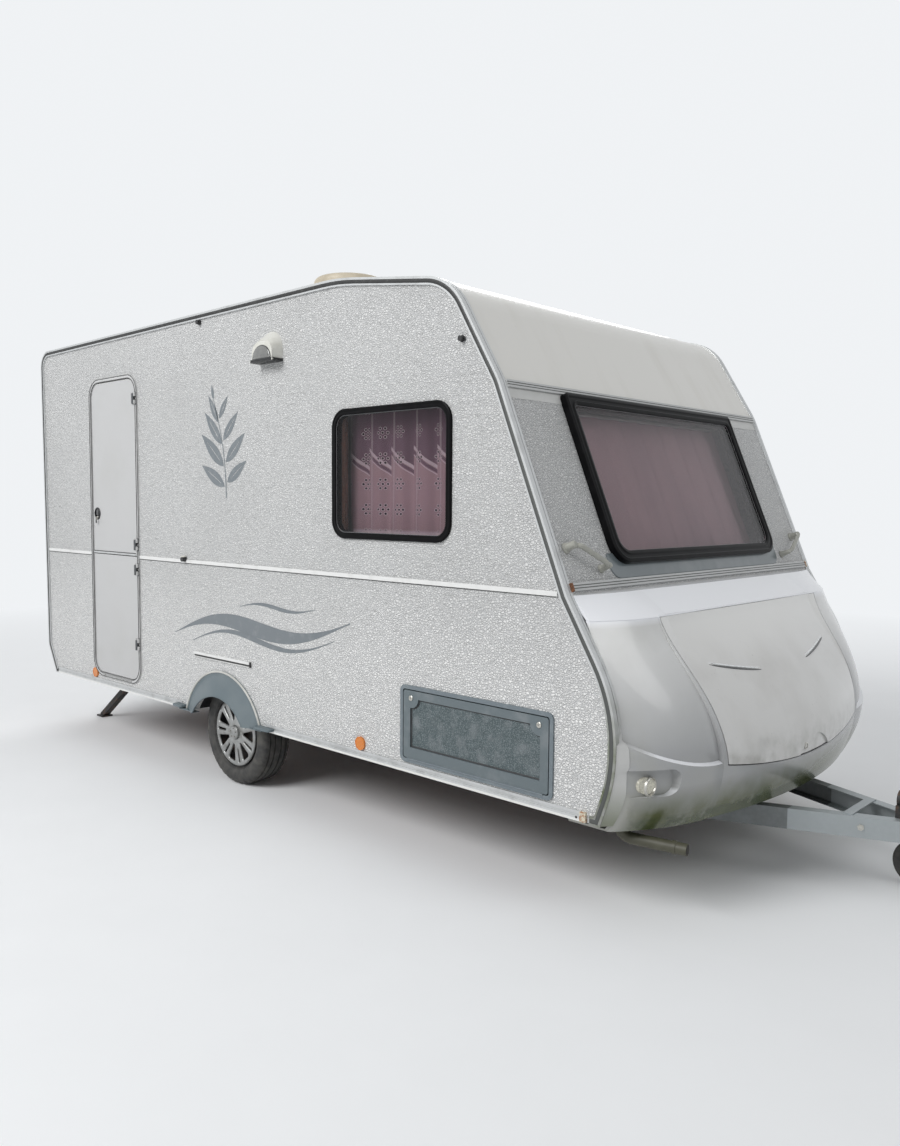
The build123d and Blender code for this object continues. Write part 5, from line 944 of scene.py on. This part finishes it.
for side, normal, word in SIDES:
    for name, centre_z, radius, out, thick, finish in SPAT_BEADS:
        shape = bmesh.new()
        rings = []
        low_turn = math.degrees(math.asin((SPAT_BEAD_FOOT_Z - centre_z) / radius))
        for k in range(BEAD_STEPS + 1):
            turn = math.radians(low_turn + (180 - 2 * low_turn) * k / BEAD_STEPS)
            way = Vector((math.cos(turn), 0, math.sin(turn)))
            middle = Vector((SPAT_X, 0, centre_z)) + way * radius + normal * (HALF + out)
            rings.append([shape.verts.new(middle + way * thick * math.cos(a) + normal * thick * math.sin(a))
                          for a in (2 * math.pi * n / BEAD_CORNERS for n in range(BEAD_CORNERS))])
        joined_rings(shape, rings, capped=True)
        made(f"{name}_{word}", shape, finish)
    for count, (near, far) in enumerate(SPAT_LIPS):
        x0, x1 = sorted((near + (LIP_UNDER if far < near else -LIP_UNDER), far))
        lip = [Vector((x, side * y, LIP_Z)) for x, y in
               rounded((x0, LIP_INNER), (x1, LIP_OUTER), 0.004, 0.018, 4)]
        raised(f"spat_lip_{word}_{count}", [lip if side > 0 else lip[::-1]],
               ((0, 0), (0, 0.011), (0.002, 0.013)), UPWARD, moulding_finish)

# Tyres: dusty radial road tyres on the rims. The tread has four grooves moulded round it, and
# sipes are cut across its shoulders; the jockey wheel's tread is of the same rubber.
WHEEL_Y, AXLE = 1.012, (-0.700, 0.298)
TYRE_PROFILE = (
    # across from the middle, radius; the grooves and the shoulder's sipes are cut below
    (0.066, 0.196), (0.066, 0.206), (0.073, 0.2065), (0.084, 0.214), (0.0905, 0.228), (0.0925, 0.243),
    (0.0910, 0.262), (0.0875, 0.276), (0.0820, 0.2865), (0.0760, 0.2920), (0.0690, 0.2950), (0.0600, 0.2968),
    (0.0590, 0.2970), (0.0580, 0.2895), (0.0500, 0.2895), (0.0490, 0.2975), (0.0260, 0.2980),
    (0.0250, 0.2900), (0.0170, 0.2900), (0.0160, 0.2980),
)
TYRE_STEPS, SIPE_EVERY, SIPE_DEPTH, SIPE_ROWS = 144, 4, 0.0055, (8, 9, 10, 11)
rubber_finish = finish_of("tyre_rubber", (0.030, 0.030, 0.030), 0.72)
spotted(rubber_finish, (0.075, 0.072, 0.066), 25, 0.35, 0.75, detail=6)
spotted(rubber_finish, (0.12, 0.115, 0.10), 8, 0.55, 0.80, detail=6)
dressed(rubber_finish, "jockey_wheel")
for side, _, word in SIDES:
    shape = bmesh.new()
    rings = []
    near_half = [(-y, radius, row) for row, (y, radius) in enumerate(TYRE_PROFILE)]
    sections = near_half + [(-y, radius, row) for y, radius, row in near_half[::-1]]
    for y, radius, row in sections:
        ring = []
        for k in range(TYRE_STEPS):
            cut = SIPE_DEPTH if row in SIPE_ROWS and k % SIPE_EVERY == 0 else 0
            turn = 2 * math.pi * k / TYRE_STEPS
            ring.append(shape.verts.new((AXLE[0] + (radius - cut) * math.cos(turn), side * WHEEL_Y + y,
                                         AXLE[1] + (radius - cut) * math.sin(turn))))
        rings.append(ring)
    joined_rings(shape, [*rings, rings[0]])
    tyre = made(f"grooved_tyre_{word}", shape, rubber_finish, f"wheel_{word}", crease=28)
    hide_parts(f"tyre_{word}")

# Wheel covers and rims: silver-painted plastic covers whose blades are crowned, round a blank
# domed hub, clipped over dark steel rims; brake dust has greyed the silver.
SILVER, SILVER_DUST = (0.35, 0.355, 0.35), (0.20, 0.20, 0.185)
BLADE_LEVELS = ((0.0004, 0), (0.0008, 0.0012), (0.0030, 0.0038), (0.0078, 0.0060))
COVER_FACE, HUB_FACE = 1.091, 1.102
HUB_ROWS = ((0, 0), (0, 0.0365), (0.0015, 0.0370), (0.0045, 0.0345), (0.0070, 0.0250), (0.0080, 0.0120),
            (0.0083, 0))
STUDS, STUD_REACH, STUD_OUT = 5, 0.0255, 0.0061
STUD_ROWS = ((0, 0), (0, 0.0042), (0.0016, 0.0036), (0.0020, 0))
cover_finish = finish_of("silver_cover", SILVER, 0.30, metallic=0.55)
spotted(cover_finish, SILVER_DUST, 25, 0.45, 0.8)
dressed(cover_finish, "wheel_cover_right", "wheel_cover_left")
iron_finish = finish_of("dark_iron", (0.030, 0.030, 0.030), 0.6, metallic=0.3)
spotted(iron_finish, (0.11, 0.06, 0.035), 30, 0.5, 0.75, detail=6)
dressed(iron_finish, "brake_drum_right", "brake_drum_left", "overrun_device", "corner_steadies",
        "rim_right", "rim_left")
for side, normal, word in SIDES:
    blades = flat_loops(f"wheel_cover_{word}", normal * COVER_FACE, normal)
    raised(f"cover_blades_{word}", blades, BLADE_LEVELS, normal, cover_finish, f"wheel_{word}")
    turned(f"cover_hub_{word}", HUB_ROWS, (AXLE[0], side * HUB_FACE, AXLE[1]), normal, cover_finish,
           f"wheel_{word}", 36)
    for count in range(STUDS):
        turn = math.radians(18 + 360 / STUDS * count)
        place = (AXLE[0] + STUD_REACH * math.cos(turn), side * (HUB_FACE + STUD_OUT),
                 AXLE[1] + STUD_REACH * math.sin(turn))
        turned(f"cover_stud_{word}_{count}", STUD_ROWS, place, normal, iron_finish, f"wheel_{word}", 6)

# Locker lid's dressing: two slim pairs of plastic ribs are stuck on and sweep out from the bare
# middle; each rib is a dark strip below as painted shade and a bright strip above as painted
# highlight. The lock sits in a round nickel escutcheon.
RIB_WIDE, RIB_LIFT, RIB_STEPS, RIB_CORNERS = 0.010, 0.005, 14, 10
RIB_INNER, RIB_LONG, RIB_Z, HIGHLIGHT_UP = 0.235, 0.350, 0.905, 0.008
RIB_RISE, RIB_CURVE = 0.035, 0.020
LID_LOCK_R, LID_LOCK_INNER, LID_LOCK_AT = 0.016, 0.016 * 0.72, (-0.086, 0.566)
LID_LOCK_ROWS = (
    (-0.002, LID_LOCK_INNER), (-0.002, LID_LOCK_R), (0.002, LID_LOCK_R), (0.003, LID_LOCK_R * 0.9),
    (0.003, LID_LOCK_INNER), (-0.002, LID_LOCK_INNER),
)


def on_lid(y, z):
    """Place and normal on the lid's face at a width and height."""
    return struck("locker_lid", (3.2, y, z), -AHEAD)


def ribbon_on_lid(name, course, finish):
    """Rib along (y, z) places on the lid, tapered at both ends."""
    shape = bmesh.new()
    rings = []
    for k, (y, z) in enumerate(course):
        place, normal = on_lid(y, z)
        way = on_lid(*course[min(k + 1, RIB_STEPS)])[0] - on_lid(*course[max(k - 1, 0)])[0]
        side = normal.cross(way.normalized()).normalized()
        fat = max(math.sin(math.pi * k / RIB_STEPS) ** 0.25, 0.3)
        rings.append([shape.verts.new(place + side * RIB_WIDE / 2 * fat * math.cos(a) +
                                      normal * (RIB_LIFT * fat * math.sin(a) - 0.001))
                      for a in (2 * math.pi * n / RIB_CORNERS for n in range(RIB_CORNERS))])
    joined_rings(shape, rings, capped=True)
    made(name, shape, finish, "locker_lid")


# painted shade: the dark lower strip of each rib
rib_shade_finish = finish_of("rib_painted_shade", (0.085, 0.085, 0.085), 0.4)
spotted(rib_shade_finish, (0.14, 0.14, 0.14), 60, 0.5, 0.8, detail=4)
# painted highlight: the bright upper strip of each rib
rib_highlight_finish = finish_of("rib_painted_highlight", (0.74, 0.75, 0.75), 0.25, metallic=0.6)
spotted(rib_highlight_finish, (0.42, 0.42, 0.42), 60, 0.5, 0.8, detail=4)
for side, _, hand in SIDES:
    for word, lift, finish in (("dark", 0.0, rib_shade_finish), ("bright", HIGHLIGHT_UP, rib_highlight_finish)):
        course = [(side * (RIB_INNER + RIB_LONG * share),
                   RIB_Z + RIB_RISE * share + RIB_CURVE * share ** 2 + lift)
                  for share in (k / RIB_STEPS for k in range(RIB_STEPS + 1))]
        ribbon_on_lid(f"lid_rib_{word}_{hand}", course, finish)
turned("lid_lock_ring", LID_LOCK_ROWS, *on_lid(*LID_LOCK_AT), steel_finish, "locker_lid", 28)

# Grab handles: moulded plastic bows on round feet, grey with age. Each foot is screwed through
# the front sheet.
HANDLE_GREY, HANDLE_FEET = (0.36, 0.36, 0.32), ((1.066, 1.441, 0.020), (0.868, 1.351, 0.0165))
FOOT_ROWS = (
    # place out from the wall, share of the foot's radius
    (0.0005, 0), (0.0005, 1.15), (0.006, 1.15), (0.010, 0.95), (0.030, 0.80), (0.050, 0.78), (0.056, 0.55),
    (0.058, 0),
)
grip_finish = finish_of("grip_plastic", HANDLE_GREY, 0.4)
spotted(grip_finish, (0.30, 0.30, 0.27), 40, 0.45, 0.8)
dressed(grip_finish, "grab_handles")
for side, _, word in SIDES:
    for count, (y, z, radius) in enumerate(HANDLE_FEET):
        turned(f"grip_foot_{word}_{count}", [(place, share * radius) for place, share in FOOT_ROWS],
               slope_point(z, side * y), FRONT_OUT, grip_finish, steps=24)

# Awning lamp: a white plastic hood screwed to the wall over a smoked lens, with a dark brim of
# two layers under it.
LAMP_X, LAMP_FOOT_Z, LENS_OUT, LENS_WIDE, LENS_HIGH = -0.252, 2.352, 0.067, 0.074, 0.064
BRIM_LOW, BRIM_HIGH, BRIM_Z = (-0.0990, -1.2225), (0.0990, -1.1505), 2.3385
BRIM_LEVELS = ((0.002, 0), (0, 0.002), (0, 0.0065), (0.002, 0.0070), (0.002, 0.0085), (0, 0.009), (0, 0.0150))
white_finish = finish_of("aged_white_plastic", (0.66, 0.655, 0.61), 0.34)
spotted(white_finish, (0.54, 0.53, 0.47), 18, 0.45, 0.85)
dressed(white_finish, "awning_lamp", "curtain_rails", "fridge_vents")
smoke_finish = finish_of("smoked_lens", (0.12, 0.12, 0.12), 0.12, coat=0.6)
spotted(smoke_finish, (0.20, 0.20, 0.19), 60, detail=2)
lens = [(LAMP_X + LENS_WIDE * math.cos(turn), LAMP_FOOT_Z + 0.004 + LENS_HIGH * math.sin(turn))
        for turn in (math.radians(12 * k) for k in range(16))]
raised("lamp_lens", [on_wall(lens, LENS_OUT)], ((0, -0.006), (0, 0.001), (0.004, 0.003), (0.012, 0.0045)),
       OUT_RIGHT, smoke_finish)
bead("lamp_outline", [on_wall(lens, LENS_OUT - 0.001)],
     ((-0.004, -0.006), (-0.004, 0.001), (0.001, 0.0015), (0.001, -0.006)), OUT_RIGHT, black_finish)
brim = [Vector((LAMP_X + x, y, BRIM_Z)) for x, y in rounded(BRIM_LOW, BRIM_HIGH, 0.014, 0.002, 5)]
raised("lamp_brim", [brim], BRIM_LEVELS, UPWARD, black_finish)

# Roof vent and rooflight: cream and smoked plastic over the roof; a black ring under the vent's
# cap is painted shade in its gap.
VENT_CREAM, VENT_GRIME = (0.60, 0.53, 0.41), (0.42, 0.37, 0.28)
DOME_SMOKE, FRAME_WHITE = (0.09, 0.09, 0.095), (0.62, 0.62, 0.60)
VENT_GAP_DOWN, VENT_GAP_HIGH, VENT_GAP_R, DOME_FOOT_Z = 0.102, 0.012, (0.1675, 0.1700), 2.7060
vent_finish = finish_of("vent_plastic", VENT_CREAM, 0.5)
spotted(vent_finish, VENT_GRIME, 9, 0.4, 0.8, detail=6)
dressed(vent_finish, "roof_vent")
dome_finish = finish_of("smoked_dome", DOME_SMOKE, 0.15, coat=0.5)
spotted(dome_finish, (0.13, 0.13, 0.135), 30, detail=2)
graded(dome_finish, FRAME_WHITE, "Z", DOME_FOOT_Z, DOME_FOOT_Z - 0.001)
dressed(dome_finish, "rooflight")
vent_low, vent_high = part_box("roof_vent")
vent_middle = ((vent_low + vent_high) / 2).xy
inner, outer = VENT_GAP_R
# painted shade: a black ring in the gap under the vent's cap
turned("vent_gap_shade", ((0, inner), (0, outer), (VENT_GAP_HIGH, outer), (VENT_GAP_HIGH, inner), (0, inner)),
       (*vent_middle, vent_high.z - VENT_GAP_DOWN), UPWARD, black_finish, steps=48)

# Reflectors and lamps: moulded plastic lenses. Amber discs with a raised rim sit on the side
# walls, clear lamps in bright rings in the nose, and red ones beside the rear's white panel.
AMBER, AMBER_PALE = (0.58, 0.13, 0.010), (0.66, 0.22, 0.015)
RED, RED_PALE = (0.40, 0.01, 0.01), (0.55, 0.03, 0.02)
LENS_CLEAR, LENS_SHADE, REFLECTOR_OUT = (0.62, 0.60, 0.50), (0.36, 0.35, 0.29), 0.009
RIM_PROFILE = ((0, -0.004), (0, 0.0012), (0.002, 0.0018), (0.0042, 0.0010), (0.0042, -0.004))
LAMP_AT, LAMP_RING = (1.9925, 1.047, 0.547), (
    (-0.006, 0.0325), (-0.006, 0.0385), (0.001, 0.0385), (0.0035, 0.0365), (0.0035, 0.0335), (0.001, 0.0320),
    (-0.006, 0.0325),
)


def cells(finish, per_metre):
    """Distance from the middles of cells, so many a metre."""
    middles = step(finish, "ShaderNodeTexVoronoi", {"Vector": on_piece(finish), "Scale": per_metre})
    return middles.outputs["Distance"]


amber_finish = finish_of("amber_lens", AMBER, 0.2, coat=0.5)
tinted(amber_finish, between(amber_finish, cells(amber_finish, 260.0), 0.2, 0.7), AMBER_PALE)
dressed(amber_finish, "reflectors")
for _, normal, word in SIDES:
    discs = flat_loops("reflectors", normal * (HALF + REFLECTOR_OUT), normal)
    bead(f"reflector_rims_{word}", discs, RIM_PROFILE, normal, amber_finish)
for side, _, word in SIDES:
    turned(f"front_lamp_ring_{word}", LAMP_RING, (LAMP_AT[0], side * LAMP_AT[1], LAMP_AT[2]), AHEAD,
           steel_finish, steps=36)
lens_finish = finish_of("clear_lens", LENS_CLEAR, 0.12, coat=0.8)
tinted(lens_finish, between(lens_finish, cells(lens_finish, 140.0), 0.30, 0.75, 0, 0.6), LENS_SHADE)
dressed(lens_finish, "front_lamps")
red_finish = finish_of("red_lens", RED, 0.15, coat=0.8)
spotted(red_finish, RED_PALE, 90, detail=2)
dressed(red_finish, "rear_lights")
dressed(nose_finish, "rear_panel")

# Drain pipe: an olive plastic elbow that leaves the floor beside the nose, with a collar pushed
# over its end.
PIPE_END, COLLAR_BACK = Vector((2.096, -0.942, 0.300)), 0.060
PIPE_WAY = Vector((0.246, 0.054, -0.004)).normalized()
BORE_ROWS = ((0, 0), (0, 0.0195), (0.0006, 0.0195), (0.0006, 0))
pipe_finish = finish_of("olive_pipe", (0.070, 0.068, 0.045), 0.5)
spotted(pipe_finish, (0.05, 0.048, 0.030), 25, 0.4, 0.8)
dressed(pipe_finish, "drain_pipe")
turned("pipe_collar", ((0, 0.0234), (0, 0.0265), (0.016, 0.0265), (0.018, 0.0234)),
       PIPE_END - PIPE_WAY * COLLAR_BACK, PIPE_WAY, pipe_finish, steps=28)
turned("pipe_bore", BORE_ROWS, PIPE_END + PIPE_WAY * 0.0004, PIPE_WAY, hole_finish, steps=24)

# Chassis and drawbar: hot-dip galvanised steel, dull with faint spangle, with a bolt through
# the drawbar's web and an oval perforated bracket plate behind the wheel. Behind the line where
# the body's shadow ends on the drawbar, the steel is painted dark as painted shadow.
ZINC, ZINC_SPANGLE, ZINC_DULL = (0.40, 0.42, 0.43), (0.30, 0.32, 0.33), (0.24, 0.25, 0.25)
ZINC_PAINTED_SHADOW, ZINC_AHEAD, BODY_SHADOW_EDGE_X = (0.11, 0.12, 0.12), (0.36, 0.39, 0.40), 2.185
BOLT_AT, BOLT_WAY = (2.455, -0.139, 0.276), (0.363, -0.932, 0)
BRACKET_Y, BRACKET_LOW, BRACKET_HIGH = -0.955, (-1.140, 0.180), (-1.003, 0.268)
BRACKET_HOLES, BRACKET_HOLE_Z, BRACKET_HOLE_R = (-1.104, -1.070, -1.036), 0.224, 0.011
zinc_finish = finish_of("galvanised", ZINC, 0.50, metallic=0.55)
tinted(zinc_finish, between(zinc_finish, cells(zinc_finish, 55.0), 0.2, 0.9), ZINC_SPANGLE)
spotted(zinc_finish, ZINC_DULL, 12, 0.5, 0.8, detail=6)
# painted shadow: the steel behind the body's shadow line is darkened
graded(zinc_finish, ZINC_PAINTED_SHADOW, "X", BODY_SHADOW_EDGE_X + 0.001, BODY_SHADOW_EDGE_X - 0.001, 0.75)
graded(zinc_finish, ZINC_AHEAD, "X", BODY_SHADOW_EDGE_X - 0.001, BODY_SHADOW_EDGE_X + 0.001, 0.85)
turned("drawbar_bolt", ((0, 0), (0, 0.014), (0.006, 0.014), (0.006, 0.009), (0.010, 0.009), (0.011, 0)),
       BOLT_AT, BOLT_WAY, steel_finish, steps=6)
plate = [Vector((x, BRACKET_Y, z)) for x, z in rounded(BRACKET_LOW, BRACKET_HIGH, 0.040, 0.040, 8)]
hole_round = [(BRACKET_HOLE_R * math.cos(-turn), BRACKET_HOLE_R * math.sin(-turn))
              for turn in (2 * math.pi * k / 12 for k in range(12))]
holes = [[Vector((x + dx, BRACKET_Y, BRACKET_HOLE_Z + dz)) for dx, dz in hole_round] for x in BRACKET_HOLES]
raised("bracket_plate", [plate, *holes], ((0, 0), (0, 0.003)), OUT_RIGHT, iron_finish)
dressed(zinc_finish, "chassis_rails", "drawbar_rails", "cross_members", "axle", "coupling_head",
        "jockey_tube", "jockey_fork")

# Awning catches: black plastic knobs screwed to the door side's wall to hold an awning's loops;
# the one on the belt rail sits under a white cap.
CATCHES = {"catch_disc": (-1.110, 1.277), "knob_disc_front": (1.100, 2.313),
           "knob_disc_rear": (-0.927, 2.630)}
CATCH_ROWS = ((0, 0), (0, 0.0155), (0.002, 0.0155), (0.003, 0.0145), (0.003, 0))
CATCH_FACE, CAP_Y, CAP_UP = -1.1565, -1.168, 0.0125
cap_x, cap_z = CATCHES["catch_disc"]
turned("catch_cap", ((0, 0), (0, 0.0150), (0.004, 0.0150), (0.008, 0.0120), (0.0095, 0)),
       (cap_x, CAP_Y, cap_z + CAP_UP), UPWARD, white_finish, steps=24)
for name, (x, z) in CATCHES.items():
    turned(name, CATCH_ROWS, (x, CATCH_FACE, z), OUT_RIGHT, black_finish, steps=24)
